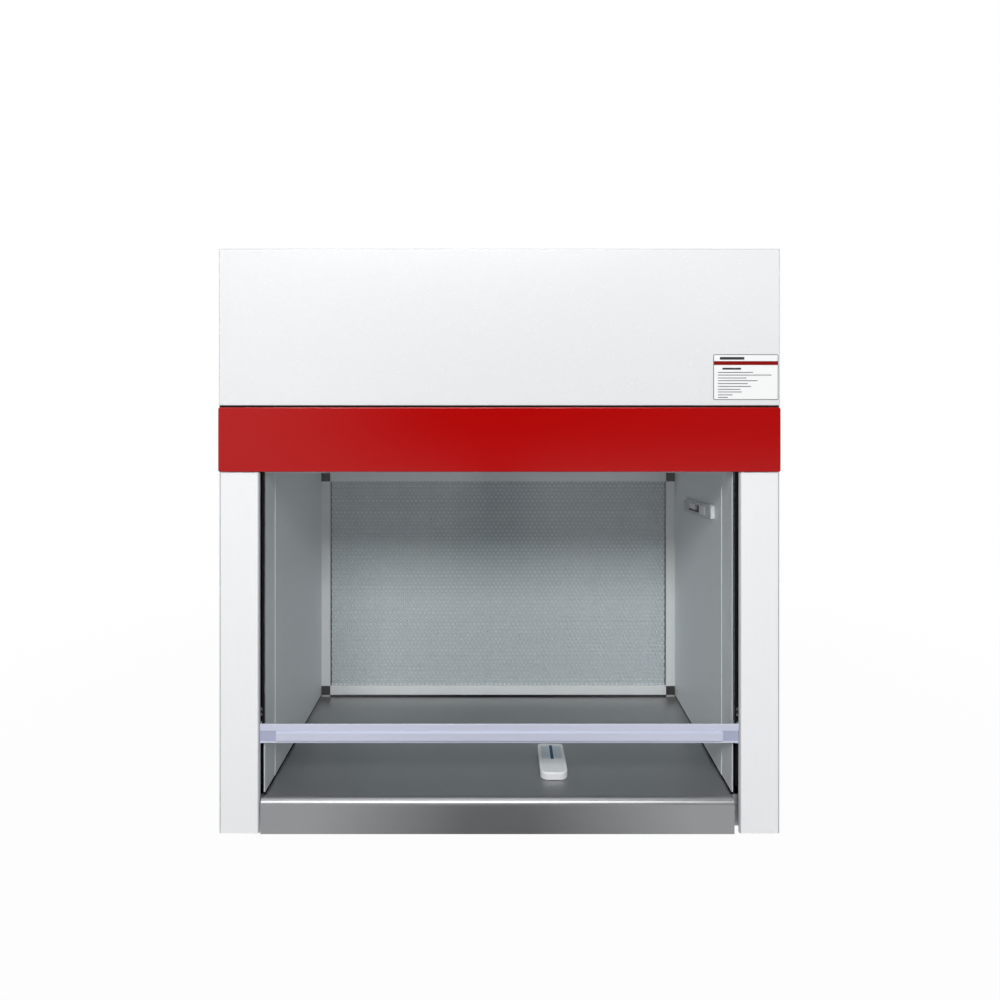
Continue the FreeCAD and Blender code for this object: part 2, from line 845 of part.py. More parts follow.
def build_blower():
    outer_edges, duct_left, duct_right = scroll_outline(0)
    inner_edges = scroll_outline(scroll_sheet)[0]
    outer = Part.Face(Part.Wire(Part.__sortEdges__(outer_edges))).extrude(FreeCAD.Vector(0, 0, scroll_height))
    outer.translate(FreeCAD.Vector(0, 0, scroll_bottom))
    inner = Part.Face(Part.Wire(Part.__sortEdges__(inner_edges)))
    inner = inner.extrude(FreeCAD.Vector(0, 0, scroll_height - 2 * scroll_sheet))
    inner.translate(FreeCAD.Vector(0, 0, scroll_bottom + scroll_sheet))
    centre = (blower_x, blower_y)
    throat = impeller_inner_radius - bell_throat_gap
    eye = rod((*centre, scroll_top - 5), (0, 0, 1), throat + bell_radius + 1, 10)
    neck = rod((*centre, scroll_bottom - 5), (0, 0, 1), motor_neck_radius + 1, 10)
    scroll = outer.cut(inner).cut(eye).cut(neck)
    legs = []
    for angle in (45, 135, 225, 315):
        x = blower_x + (impeller_radius - leg_radius) * math.cos(math.radians(angle))
        y = blower_y + (impeller_radius - leg_radius) * math.sin(math.radians(angle))
        legs.append(rod((x, y, deck_top), (0, 0, 1), leg_radius, scroll_lift))
    parts["blower_scroll"] = scroll.multiFuse(legs)

    lip_top = scroll_top + scroll_sheet
    lip_points = []
    for step in range(bell_steps + 1):
        angle = math.radians(90) * step / bell_steps
        lip_points.append((throat + bell_radius * (1 - math.cos(angle)), bell_radius * (math.sin(angle) - 1)))
    flange = throat + bell_radius + bell_flange
    profile = [(r, lip_top + dz) for r, dz in lip_points] + [(flange, lip_top)]
    lower = offset_points(profile, -scroll_sheet)
    section = [FreeCAD.Vector(r, 0, z) for r, z in profile + lower[::-1]]
    ring = Part.Face(Part.makePolygon(section + section[:1]))
    ring = ring.revolve(FreeCAD.Vector(0, 0, 0), FreeCAD.Vector(0, 0, 1), 360)
    ring.translate(FreeCAD.Vector(blower_x, blower_y, 0))
    parts["inlet_ring"] = ring

    can = rod((*centre, deck_top), (0, 0, 1), motor_radius, scroll_lift - 10)
    can = can.makeChamfer(4, [can.Edges[0]])
    flange_ring = rod((*centre, deck_top), (0, 0, 1), motor_flange_radius, 4)
    neck_boss = rod((*centre, deck_top + scroll_lift - 10), (0, 0, 1), motor_neck_radius, 12)
    shaft = rod((*centre, deck_top), (0, 0, 1), shaft_radius, impeller_bottom - deck_top + hub_height + 4)
    parts["blower_motor"] = can.multiFuse([flange_ring, neck_boss, shaft])

    build_impeller(centre)
    return duct_left, duct_right


def build_impeller(centre):
    """Squirrel cage: back plate with hub, curved blades and a shroud ring."""
    back = rod((0, 0, impeller_bottom), (0, 0, 1), impeller_radius, impeller_plate)
    hub = rod((0, 0, impeller_bottom), (0, 0, 1), hub_radius, hub_height)
    shroud = rod((0, 0, impeller_top - impeller_plate), (0, 0, 1), impeller_radius, impeller_plate)
    shroud = shroud.cut(rod((0, 0, impeller_top - 5), (0, 0, 1), impeller_inner_radius, 10))
    chord = impeller_radius - impeller_inner_radius - 1.0
    blade_radius = chord / math.sqrt(2)
    pivot = (impeller_inner_radius + 0.5 + chord / 2, chord / 2)
    outer = blade_radius + blade_thickness / 2
    inner = blade_radius - blade_thickness / 2
    blade = rod((*pivot, impeller_bottom + 1), (0, 0, 1), outer, impeller_height - 2)
    blade = blade.cut(rod((*pivot, impeller_bottom), (0, 0, 1), inner, impeller_height))
    blade = blade.common(box(impeller_inner_radius + 0.5, impeller_radius - 0.5, -chord, pivot[1] - chord / 2,
                             impeller_bottom, impeller_top))
    blades = []
    for i in range(blade_count):
        turned = blade.copy()
        turned.rotate(FreeCAD.Vector(0, 0, 0), FreeCAD.Vector(0, 0, 1), 360 / blade_count * i)
        blades.append(turned)
    wheel = back.multiFuse([hub, shroud] + blades)
    shaft_bore = rod((0, 0, impeller_bottom - 1), (0, 0, 1), shaft_radius + axle_clearance, hub_height + 2)
    wheel = wheel.cut(shaft_bore)
    wheel.translate(FreeCAD.Vector(centre[0], centre[1], 0))
    parts["impeller"] = wheel


def build_plenum(duct_left, duct_right):
    outline = [
        (partition_y, base_top),
        (partition_y, plenum_top),
        (rear_plane, plenum_top),
    ]
    wall = bent_sheet(outline, bend, -partition_sheet, "YZ", -case_inner, case_inner)
    window_half = filter_half - filter_wall - window_margin
    filter_window = box(chamber_shift - window_half, chamber_shift + window_half,
                        partition_y - 1, partition_y + 3,
                        filter_bottom + filter_wall + window_margin, filter_top - filter_wall - window_margin)
    duct_window = box(duct_left + scroll_sheet, duct_right - scroll_sheet, partition_y - 1, partition_y + 3,
                      scroll_bottom + scroll_sheet, scroll_top - scroll_sheet)
    wall = wall.cut(filter_window).cut(duct_window)
    notch = rear_flange + 0.5
    for side in (-1, 1):
        x = side * case_half
        wall = wall.cut(box(min(x, x - side * notch), max(x, x - side * notch),
                            flange_front - 2 * bend, rear_plane + 1, 0, height))
    parts["plenum_partition"] = wall

    deck_outline = [
        (front + deck_front_setback, deck_top + deck_upturn),
        (front + deck_front_setback, wall_top),
        (partition_y, wall_top),
    ]
    parts["blower_deck"] = bent_sheet(deck_outline, bend, skin, "YZ", -case_inner, case_inner)


def build_lamps():
    holders = []
    tube_z = ceiling_height - tube_drop
    for y, name in ((lamp_y, "lamp_tube"), (uv_y, "uv_tube")):
        glass_half_length = tube_half_length - cap_length
        glass = rod((-glass_half_length, y, tube_z), (1, 0, 0), tube_radius, 2 * glass_half_length)
        pieces = []
        for side in (-1, 1):
            outward = (side, 0, 0)
            cap_start = (side * glass_half_length, y, tube_z)
            pieces.append(rod(cap_start, outward, tube_radius + cap_step, cap_length))
            for dz in (-pin_spread, pin_spread):
                pin_start = (side * tube_half_length, y, tube_z + dz)
                pieces.append(rod(pin_start, outward, pin_radius, pin_length))
            x0 = side * (tube_half_length + tube_end_gap)
            x1 = x0 + side * holder_thickness
            outline = [
                (y - holder_width / 2, ceiling_height - wall_sheet),
                (y - holder_width / 2, tube_z - holder_reach),
                (y + holder_width / 2, tube_z - holder_reach),
                (y + holder_width / 2, ceiling_height - wall_sheet),
            ]
            holder = prism(outline, [0, holder_corner, holder_corner, 0], "YZ", min(x0, x1), max(x0, x1))
            slot_end = x0 + side * pin_length
            holder = holder.cut(box(min(x0 - side, slot_end), max(x0 - side, slot_end), y - pin_radius,
                                    y + pin_radius, tube_z - pin_spread - pin_radius,
                                    tube_z + pin_spread + pin_radius))
            holders.append(holder)
        parts[name] = glass.multiFuse(pieces)
    parts["lamp_holders"] = group(holders)


def build_control_box():
    outer = prism(rectangle(box_x - box_length / 2, box_x + box_length / 2,
                            box_y - box_depth / 2, box_y + box_depth / 2), box_corner, "XY",
                  deck_top, deck_top + box_height)
    inner = prism(rectangle(box_x - box_length / 2 + box_sheet, box_x + box_length / 2 - box_sheet,
                            box_y - box_depth / 2 + box_sheet, box_y + box_depth / 2 - box_sheet),
                  box_corner - box_sheet, "XY",
                  deck_top + box_sheet, deck_top + box_height - box_sheet)
    parts["control_box"] = outer.cut(inner)


def build_outlet():
    """Low bezel on the right wall with a raised pad, a recess and a sliding shutter."""
    y0 = outlet_near_y
    y1 = y0 + outlet_length
    z0 = outlet_centre_z - outlet_height / 2
    z1 = outlet_centre_z + outlet_height / 2
    x0 = wall_half - outlet_proud
    bezel = prism(rectangle(y0, y1, z0, z1), outlet_corner, "YZ", x0, wall_half)
    rim = [e for e in bezel.Edges if e.BoundBox.XMax < x0 + 1e-6]
    bezel = bezel.makeFillet(outlet_edge, rim)
    h0 = outlet_centre_z - outlet_window_height / 2
    h1 = outlet_centre_z + outlet_window_height / 2
    p0 = y0 + outlet_pad_start
    pad = prism(rectangle(p0, p0 + outlet_pad_length, h0 - outlet_pad_rim, h1 + outlet_pad_rim),
                outlet_inner_corner, "YZ", x0 - outlet_pad_proud, x0 + 1)
    bezel = bezel.fuse(pad)
    w0 = y0 + outlet_window_start
    w1 = w0 + outlet_window_length
    recess_floor = wall_half - outlet_floor
    bezel = bezel.cut(prism(rectangle(w0, w1, h0, h1), outlet_inner_corner, "YZ", x0 - 1, recess_floor))
    shutter = prism(rectangle(w1 - shutter_gap - shutter_length, w1 - shutter_gap,
                              h1 - shutter_gap - shutter_height, h1 - shutter_gap),
                    outlet_inner_corner - shutter_gap, "YZ", x0 + shutter_setback, recess_floor - shutter_gap)
    pivot = FreeCAD.Vector(wall_half, (y0 + y1) / 2, outlet_centre_z)
    for shape in (bezel, shutter):
        shape.rotate(pivot, FreeCAD.Vector(1, 0, 0), -outlet_tilt_deg)
    parts["outlet_bezel"] = bezel
    parts["outlet_shutter"] = shutter


def build_power_inlet():
    x0 = inlet_x - inlet_width / 2
    x1 = inlet_x + inlet_width / 2
    z0 = inlet_z - inlet_height / 2
    z1 = inlet_z + inlet_height / 2
    face = case_rear + inlet_flange
    flange = prism(rectangle(x0, x1, z0, z1), inlet_corner, "XZ", case_rear, face)
    body = box(x0 + inlet_border, x1 - inlet_border, case_rear - inlet_body_depth, case_rear,
               z0 + inlet_border, z1 - inlet_border)
    module = flange.fuse(body)
    socket_z = z0 + inlet_socket_lift + inlet_socket_height / 2
    half_w = inlet_socket_width / 2
    half_h = inlet_socket_height / 2
    socket_outline = [
        (inlet_x - half_w, socket_z - half_h),
        (inlet_x + half_w, socket_z - half_h),
        (inlet_x + half_w, socket_z + half_h - inlet_socket_corner),
        (inlet_x + half_w - inlet_socket_corner, socket_z + half_h),
        (inlet_x - half_w + inlet_socket_corner, socket_z + half_h),
        (inlet_x - half_w, socket_z + half_h - inlet_socket_corner),
    ]
    socket_end = face - inlet_socket_depth
    socket = prism(socket_outline, 0, "XZ", socket_end, face + 1)
    module = module.cut(socket)
    pins = []
    for side, rise in ((-1, -1), (1, -1), (0, 1)):
        pin_x = inlet_x + side * pin_side
        pin_z = socket_z + rise * pin_offset
        pins.append(box(pin_x - pin_half_width, pin_x + pin_half_width, socket_end - 1, face - pin_setback,
                        pin_z - pin_half_height, pin_z + pin_half_height))
    rocker_z = z1 - rocker_drop - rocker_height / 2
    well = box(inlet_x - rocker_width / 2, inlet_x + rocker_width / 2,
               case_rear - rocker_pivot_depth - rocker_well, face + 1,
               rocker_z - rocker_height / 2, rocker_z + rocker_height / 2)
    module = module.cut(well)
    pivot_y = case_rear - rocker_pivot_depth
    trunnion = rod((inlet_x - rocker_width / 2 - trunnion_end, pivot_y, rocker_z), (1, 0, 0), trunnion_radius,
                   rocker_width + 2 * trunnion_end)
    parts["power_inlet"] = module.multiFuse(pins + [trunnion])
    half_r = rocker_height / 2 - rocker_end_gap
    outline = [
        (pivot_y + rocker_proud, rocker_z + half_r),
        (pivot_y + rocker_shoulder, rocker_z + half_r),
        (pivot_y - rocker_foot, rocker_z + rocker_foot_half),
        (pivot_y - rocker_foot, rocker_z - rocker_foot_half),
        (pivot_y + rocker_shoulder, rocker_z - half_r),
        (pivot_y + rocker_proud, rocker_z - half_r),
    ]
    rocker = prism(outline, [rocker_corner, 0, 0, 0, 0, rocker_corner], "YZ",
                   inlet_x - rocker_width / 2 + rocker_side_gap, inlet_x + rocker_width / 2 - rocker_side_gap)
    rocker = rocker.cut(rod((inlet_x - rocker_width, pivot_y, rocker_z), (1, 0, 0),
                            trunnion_radius + axle_clearance, 2 * rocker_width))
    rocker.rotate(FreeCAD.Vector(inlet_x, pivot_y, rocker_z), FreeCAD.Vector(1, 0, 0), rocker_rest_deg)
    parts["power_rocker"] = rocker


def build_sash():
    pane = rectangle(-glass_half, glass_half, glass_bottom, glass_top)
    parts["sash_glass"] = prism(pane, 2.0, "XZ", glass_front, glass_rear)
    reach = handle_half + 1
    bar = prism(rectangle(handle_front, handle_rear, handle_bottom, handle_top), 0.6,
                "YZ", -handle_half, handle_half)
    groove = box(-reach, reach, glass_front - handle_fit, glass_rear + handle_fit,
                 handle_bottom + handle_floor, handle_top + 1)
    rear_step = box(-reach, reach, glass_rear, handle_rear + 1, handle_top - handle_rear_drop, handle_top + 1)
    channel = box(-reach, reach, handle_front - 1, handle_front + channel_depth, channel_bottom, channel_top)
    hollow = box(-reach, reach, handle_front + channel_depth + handle_wall, handle_rear - handle_wall,
                 handle_bottom + handle_wall, handle_bottom + handle_floor - handle_wall)
    parts["sash_handle_bar"] = bar.cut(groove).cut(rear_step).cut(channel).cut(hollow)
    grip_outline = rectangle(handle_front - grip_proud, handle_front + channel_depth,
                             channel_bottom + grip_fit, channel_top - grip_fit)
    parts["sash_grip"] = prism(grip_outline, [1.2, 0, 0, 3.0], "YZ", -grip_half, grip_half)

    block = box(handle_half, arm_outer, handle_front, handle_rear, handle_bottom, handle_top)
    block = block.cut(box(handle_half - 1, arm_outer + 1, handle_front - 1, handle_front + channel_depth,
                          channel_bottom, channel_top))
    arm_y = rail_plate_y - rail_bar_depth
    arm_z = handle_bottom + arm_lift
    arm = box(arm_inner, arm_outer, handle_rear - 1, arm_y, arm_z, arm_z + arm_height)
    tab = box(arm_inner, cable_x + eye_tab_end, cable_y - eye_tab_half, cable_y + eye_tab_half,
              eye_tab_top - eye_tab_thickness, eye_tab_top)
    bracket = block.multiFuse([arm, tab]).removeSplitter()
    notch = box(arm_outer - end_block_notch_width, arm_outer + 1,
                handle_front - 1, handle_front + end_block_notch,
                channel_top - end_block_notch, channel_top)
    parts["sash_brackets"] = group([bracket.cut(notch), mirrored(bracket)])

    clip = box(glass_half - clip_width, arm_outer, glass_rear, glass_rear + arm_thickness,
               upper_clip_height, upper_clip_height + arm_height)
    clip_arm = box(arm_inner, arm_outer, glass_rear, arm_y, upper_clip_height, upper_clip_height + arm_height)
    clip = clip.fuse(clip_arm).removeSplitter()
    parts["glass_clips"] = group([clip, mirrored(clip)])

    bar_x = arm_outer + (runner_width - rail_bar_width) / 2
    runners = []
    for z in (arm_z + 1, upper_clip_height + 1):
        runner_rear = rail_plate_y - rail_clearance
        runner_outline = rectangle(arm_outer, arm_outer + runner_width,
                                   runner_rear - runner_depth, runner_rear)
        runner = prism(runner_outline, 1.0, "XY", z, z + runner_height)
        runner = runner.cut(box(bar_x - rail_clearance, bar_x + rail_bar_width + rail_clearance,
                                rail_plate_y - rail_bar_depth - rail_clearance, rail_plate_y,
                                z - 1, z + runner_height + 1))
        runners += [runner, mirrored(runner)]
    parts["sash_runners"] = group(runners)

    bar = box(bar_x, bar_x + rail_bar_width, rail_plate_y - rail_bar_depth, rail_plate_y,
              rail_bottom, rail_top)
    rails = []
    for side in (1, -1):
        foot_x = wall_strip_outer + side * chamber_shift
        rail_outline = [
            (foot_x, rail_plate_y + rail_foot_width),
            (foot_x, rail_plate_y),
            (arm_outer + runner_width, rail_plate_y),
        ]
        rail = bent_sheet(rail_outline, bend, rail_sheet, "XY", rail_bottom, rail_top)
        rail = rail.fuse(bar).removeSplitter()
        rails.append(rail if side > 0 else mirrored(rail))
    parts["sash_rails"] = group(rails)


def build_cables():
    ring = rod((cable_x, cable_y - eye_wire / 2, eye_centre), (0, 1, 0), eye_radius, eye_wire)
    shank = rod((cable_x, cable_y, eye_tab_top), (0, 0, 1), eye_shank_radius, eye_centre - eye_tab_top)
    hole = rod((cable_x, cable_y - eye_wire, eye_centre), (0, 1, 0), eye_radius - eye_wire, 2 * eye_wire)
    eye = ring.fuse(shank).cut(hole)
    parts["cable_eyes"] = group([eye, mirrored(eye)])

    run = rod((cable_x, cable_y, eye_top), (0, 0, 1), cable_radius, pulley_height - eye_top)
    parts["sash_cables"] = group([run, mirrored(run)])

    def local(u, w, z):
        """Point u along the pulley's plane and w across it, from the pulley's centre."""
        x = cable_x + (pulley_run_radius + u) * pulley_cos + w * pulley_sin
        y = cable_y + (pulley_run_radius + u) * pulley_sin - w * pulley_cos
        return FreeCAD.Vector(x, y, z)

    centre = local(0, 0, pulley_height)
    across = FreeCAD.Vector(pulley_sin, -pulley_cos, 0)
    arc_path = Part.Wire(Part.Arc(local(-pulley_run_radius, 0, pulley_height),
                                  local(0, 0, pulley_height + pulley_run_radius),
                                  local(pulley_run_radius, 0, pulley_height)).toShape())
    circle = Part.Wire(Part.makeCircle(cable_radius, local(-pulley_run_radius, 0, pulley_height),
                                       FreeCAD.Vector(0, 0, 1)))
    bow = arc_path.makePipeShell([circle], True, True)
    parts["pulley_cable_arcs"] = group([bow, mirrored(bow)])

    weight_top = weight_bottom + weight_length
    down = local(pulley_run_radius, 0, 0)
    drop = rod((down.x, down.y, weight_top), (0, 0, 1), cable_radius, pulley_height - weight_top)
    sided("weight_cable", drop)
    weight = rod((down.x, down.y, weight_bottom), (0, 0, 1), weight_radius, weight_length)
    weight = weight.makeChamfer(weight_chamfer, [weight.Edges[0], weight.Edges[2]])
    sided("counterweight", weight)

    groove_radius = pulley_run_radius - cable_radius - pulley_groove_gap
    half = pulley_thickness / 2
    section = [
        FreeCAD.Vector(axle_radius + axle_clearance, 0, -half),
        FreeCAD.Vector(pulley_flange_radius, 0, -half),
        FreeCAD.Vector(pulley_flange_radius, 0, -half + pulley_rim),
        FreeCAD.Vector(groove_radius, 0, -cable_radius),
        FreeCAD.Vector(groove_radius, 0, cable_radius),
        FreeCAD.Vector(pulley_flange_radius, 0, half - pulley_rim),
        FreeCAD.Vector(pulley_flange_radius, 0, half),
        FreeCAD.Vector(axle_radius + axle_clearance, 0, half),
    ]
    wheel = Part.Face(Part.makePolygon(section + section[:1]))
    wheel = wheel.revolve(FreeCAD.Vector(0, 0, 0), FreeCAD.Vector(0, 0, 1), 360)
    wheel.Placement = FreeCAD.Placement(centre, FreeCAD.Rotation(FreeCAD.Vector(0, 0, 1), across))
    sided("pulley", wheel)

    cheek_near = half + cheek_gap
    boss = Part.makeCylinder(axle_radius + boss_rim, cheek_boss, local(0, cheek_near, pulley_height), across)
    plate_near = cheek_near + cheek_boss
    reach = pulley_run_radius * 3
    cheek_wide = 1.5 * cheek_half_height
    plate_points = [local(0, plate_near, pulley_height - cheek_half_height),
                    local(reach, plate_near, pulley_height - cheek_wide),
                    local(reach, plate_near, pulley_height + cheek_wide),
                    local(0, plate_near, pulley_height + cheek_half_height)]
    plate = Part.Face(Part.makePolygon(plate_points + plate_points[:1])).extrude(across * cheek_thickness)
    nose = Part.makeCylinder(cheek_half_height, cheek_thickness, local(0, plate_near, pulley_height), across)
    cheek = plate.multiFuse([nose, boss])
    cheek = cheek.common(box(0, case_inner, front, 0, 0, height))
    where = (case_inner - local(0, plate_near, 0).x) / pulley_cos
    foot_y = local(where, plate_near, 0).y
    foot = prism(rectangle(foot_y - cheek_foot_ahead, foot_y + cheek_foot_behind,
                           pulley_height - cheek_wide, pulley_height + cheek_wide), cheek_foot_corner, "YZ",
                 case_inner - cheek_thickness, case_inner)
    bracket = cheek.fuse(foot)
    bore = Part.makeCylinder(axle_radius, 2 * reach, local(0, -reach, pulley_height), across)
    bracket = bracket.cut(bore).removeSplitter()
    parts["pulley_brackets"] = group([bracket, mirrored(bracket)])

    head_far = -half - cheek_gap
    pin = Part.makeCylinder(axle_radius, plate_near + cheek_thickness + axle_tail - head_far,
                            local(0, head_far, pulley_height), across)
    head = Part.makeCylinder(axle_radius + axle_head_rim, axle_head_height,
                             local(0, head_far - axle_head_height, pulley_height), across)
    axle = pin.fuse(head)
    parts["pulley_axles"] = group([axle, mirrored(axle)])


def remote_outline(inset):
    """Outline of the remote control seen from above, with larger corners at the near end."""
    half = remote_width / 2 - inset
    near = remote_near_y + inset
    far = remote_near_y + remote_length - inset
    left = remote_x - half
    right = remote_x + half
    points = [(left, near), (right, near), (right, far), (left, far)]
    radii = [remote_near_corner - inset, remote_near_corner - inset,
             max(remote_far_corner - inset, 1.0), max(remote_far_corner - inset, 1.0)]
    return points, radii


def build_remote():
    top = remote_bottom + remote_height
    points, radii = remote_outline(0)
    case = prism(points, radii, "XY", remote_bottom, top)
    upper = [e for e in case.Edges if e.BoundBox.ZMin > top - 1e-6]
    case = case.makeFillet(remote_edge, upper)
    lower = [e for e in case.Edges if e.BoundBox.ZMax < remote_bottom + 1e-6]
    case = case.makeChamfer(0.8, lower)
    points, radii = remote_outline(remote_wall)
    case = case.cut(prism(points, radii, "XY", remote_bottom + remote_wall, top - 2 * remote_wall))
    points, radii = remote_outline(remote_rim)
    case = case.cut(prism(points, radii, "XY", top - keypad_thickness, top + 1))
    parts["remote_case"] = case
    points, radii = remote_outline(remote_rim + 0.1)
    parts["remote_keypad"] = prism(points, radii, "XY", top - keypad_thickness, top - 0.05)


def shift_chamber():
    """Move the chamber, its filter and its lamps sideways between the outer posts."""
    names = ["left_inner_wall", "right_inner_wall", "chamber_ceiling", "screen_side_rails",
             "screen_end_rails", "screen_corner_blocks", "perforated_screen", "filter_frame",
             "filter_pleat_pack", "filter_glue_beads", "filter_gasket", "filter_shelf", "lamp_tube",
             "uv_tube", "lamp_holders", "outlet_bezel", "outlet_shutter"]
    for name in names:
        parts[name].translate(FreeCAD.Vector(chamber_shift, 0, 0))


def build_all():
    build_base()
    build_side_covers()
    build_rear_cover()
    build_front()
    build_top()
    build_worktop()
    build_chamber()
    build_screen()
    build_filter()
    duct_left, duct_right = build_blower()
    build_plenum(duct_left, duct_right)
    build_lamps()
    build_control_box()
    build_outlet()
    build_power_inlet()
    build_sash()
    build_cables()
    build_remote()
    shift_chamber()


build_all()
os.makedirs("parts", exist_ok=True)
for name, shape in sorted(parts.items()):
    solids = shape.Solids
    if not shape.isValid() or not solids:
        raise RuntimeError(name + " is not a valid solid")
    shape.exportStep("parts/" + name + ".step")
    print(name, len(solids), "solids", round(sum(s.Volume for s in solids) / 1000, 2), "cm3")
print(len(parts), "nodes")
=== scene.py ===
import json
import math

import bpy
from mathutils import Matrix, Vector


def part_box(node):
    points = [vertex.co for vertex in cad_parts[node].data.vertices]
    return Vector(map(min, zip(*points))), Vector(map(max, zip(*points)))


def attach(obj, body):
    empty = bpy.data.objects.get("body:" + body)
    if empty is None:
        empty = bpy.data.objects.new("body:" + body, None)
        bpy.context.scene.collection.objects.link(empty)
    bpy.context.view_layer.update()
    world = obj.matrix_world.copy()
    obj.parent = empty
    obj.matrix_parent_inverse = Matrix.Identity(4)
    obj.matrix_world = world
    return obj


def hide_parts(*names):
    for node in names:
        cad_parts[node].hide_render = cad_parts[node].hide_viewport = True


# Looks of a bench-top laminar flow cabinet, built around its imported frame. Metres, +Z up, front towards -Y.

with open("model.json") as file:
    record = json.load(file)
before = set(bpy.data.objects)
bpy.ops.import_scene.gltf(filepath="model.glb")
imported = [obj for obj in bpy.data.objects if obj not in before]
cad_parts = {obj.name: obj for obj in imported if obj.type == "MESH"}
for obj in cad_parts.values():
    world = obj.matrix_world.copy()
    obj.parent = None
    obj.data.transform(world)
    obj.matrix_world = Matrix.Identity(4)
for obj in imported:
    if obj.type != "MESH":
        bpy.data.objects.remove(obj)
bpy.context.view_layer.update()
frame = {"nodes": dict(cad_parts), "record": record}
nodes = frame["nodes"]

# Camera, worked out from the photograph: it looks level along +Y
CAMERA_PLACE = (-0.003, -1.506, 0.676)
CAMERA_LENS = 28.76
CAMERA_SHIFT = (0.0026, -0.113)

# Air screen with its holes and their raised rims, and the pleats behind it
HOLE_PITCH = 0.0087
HOLE_RADIUS = 0.0010
HOLE_SIDES = 8
RIM_RADIUS = 0.0024
RIM_HEIGHT = 0.0005
PLEAT_PITCH = 0.0032
PLEAT_DEPTH = 0.016

# Instruction plate on the upper front panel. Headings: left end, height, length and half thickness.
# Rules: height and length. Layers: how far the front and the rear of each stand off the panel.
PLATE_LEFT = 0.3231
PLATE_RIGHT = 0.4216
PLATE_BOTTOM = 0.6564
PLATE_TOP = 0.7254
PLATE_CORNER = 0.0024
PLATE_BORDER = 0.0011
PLATE_STRIPE = (0.7092, 0.7151)
PLATE_HEADINGS = ((0.333, 0.7193, 0.037, 0.0020), (0.337, 0.7036, 0.028, 0.0014))
PLATE_RULES = ((0.6980, 0.053), (0.6940, 0.081), (0.6896, 0.043), (0.6855, 0.060), (0.6811, 0.045),
               (0.6769, 0.050), (0.6725, 0.034), (0.6685, 0.036), (0.6641, 0.022), (0.6603, 0.015))
PLATE_RULES_LEFT = 0.330
PLATE_RULE_HALF = 0.0006
PRINT_CORNER = 0.0001
PLATE_LAYERS = {"border": (0.00015, 0.0), "field": (0.00025, 0.0001), "stripe": (0.00032, 0.0002),
                "rule": (0.0003, 0.0002), "heading": (0.0003, 0.0002)}

# Near-black strips as painted shadow in the gaps, and bright seams in a lighter tone as a painted highlight
SHADOW_STRIP = 0.0024
SHADOW_FIT = 0.0002
GLASS_SHADOW_STRIP = 0.0034
SCREEN_LINE = 0.0016
SCREEN_LINE_END = 0.003
SCREEN_LINE_RISE = (0.0001, 0.0004)
TRAY_SHADOW_SETBACK = 0.0005
REAR_SHADOW_LAP = 0.0006
REAR_SHADOW_DROP = 0.004
FASCIA_SHADOW_END = 0.0005
FASCIA_SHADOW_DEPTH = 0.0012
SEAM_WIDTH = 0.0013
SEAM_HEIGHT = 0.0005
SEAM_PLACE = -0.2335
SEAM_TOP = 0.540
SEAM_SUNK = 0.0003

# Service outlet: its tilt, its pivot (y, z), the x of its pad and recess, and the parts of its face,
# measured from its pivot along its length
OUTLET_TILT = math.radians(4.5)
OUTLET_PIVOT = (-0.098, 0.462)
OUTLET_PAD_FACE = 0.3474
OUTLET_RECESS_FLOOR = 0.3484
OUTLET_WINDOW = (-0.0175, 0.0565, 0.0068)
OUTLET_NEAR_END = -0.0885

# Face of the remote control: blue bar and pale fields, as distances from the middle and from the ends
REMOTE_BAR_HALF = 0.0026
REMOTE_BAR_LENGTH = 0.049
REMOTE_BAR_END = 0.0045
REMOTE_FIELD = (0.0035, 0.0165)
REMOTE_FIELD_ENDS = (0.002, 0.003)
REMOTE_MARK_RISE = 0.0003
REMOTE_MARK_SUNK = 0.0001

# Faces that get a darker tone as painted shade: the handle's channel, the walls' front edges and the bends of
# the panels
CHANNEL_DEPTH = (0.0001, 0.0016)
CHANNEL_REACH = 0.0005
WALL_EDGE_DEPTH = 0.004
BEND_FLATNESS = 0.985
SHARP_ANGLE = math.radians(35)

# Floor: how much of its look is plain white near the cabinet, where that grows to all of it, and how
# bright it is in reflections near the middle and beyond
FLOOR_SIZE = 6.0
FLOOR_TONE = (0.42, 0.42, 0.42, 1.0)
FLOOR_GLOW = 0.965
FLOOR_FADE = (0.6, 1.6)
FLOOR_REFLECTED = (0.22, 1.0)
FLOOR_REFLECTED_REACH = (0.05, 0.30)

# Surroundings: their light on the object, how bright the room looks in reflections in front and to the
# right, and the directions between which it grows to its brightness
ROOM_LIGHT = 0.15
ROOM_FRONT = 0.02
ROOM_RIGHT = 0.10
ROOM_LEFT_REACH = (-0.10, -0.28)
ROOM_RIGHT_REACH = (0.08, 0.28)
ROOM_BACK_REACH = (-0.20, 0.10)
WHITE = (1.0, 1.0, 1.0, 1.0)

# Lamps: place, the place they point at, width, height and power
LAMPS = {
    "key_softbox": ((-0.25, -3.1, 2.2), (0.0, 0.0, 0.35), 2.0, 0.8, 86.0),
    "fill_softbox": ((1.5, -2.9, 1.4), (0.0, 0.0, 0.30), 1.4, 1.0, 3.0),
    "top_softbox": ((0.0, -0.6, 3.0), (0.0, -0.2, 0.5), 2.0, 2.0, 26.0),
    "rear_left_softbox": ((-2.4, 2.0, 1.3), (0.0, 0.1, 0.45), 1.8, 1.6, 36.0),
    "rear_right_softbox": ((2.4, 2.0, 1.3), (0.0, 0.1, 0.45), 1.8, 1.6, 36.0),
}

# Glass: the share of light that it reflects when it is looked at squarely, how fast that grows towards
# a slanting look, and its two tints
GLASS_SHEEN = 0.024
GLASS_STEEPNESS = 5.0
GLASS_TINTS = ((0.972, 0.978, 0.976, 1.0), (0.980, 0.985, 0.984, 1.0))

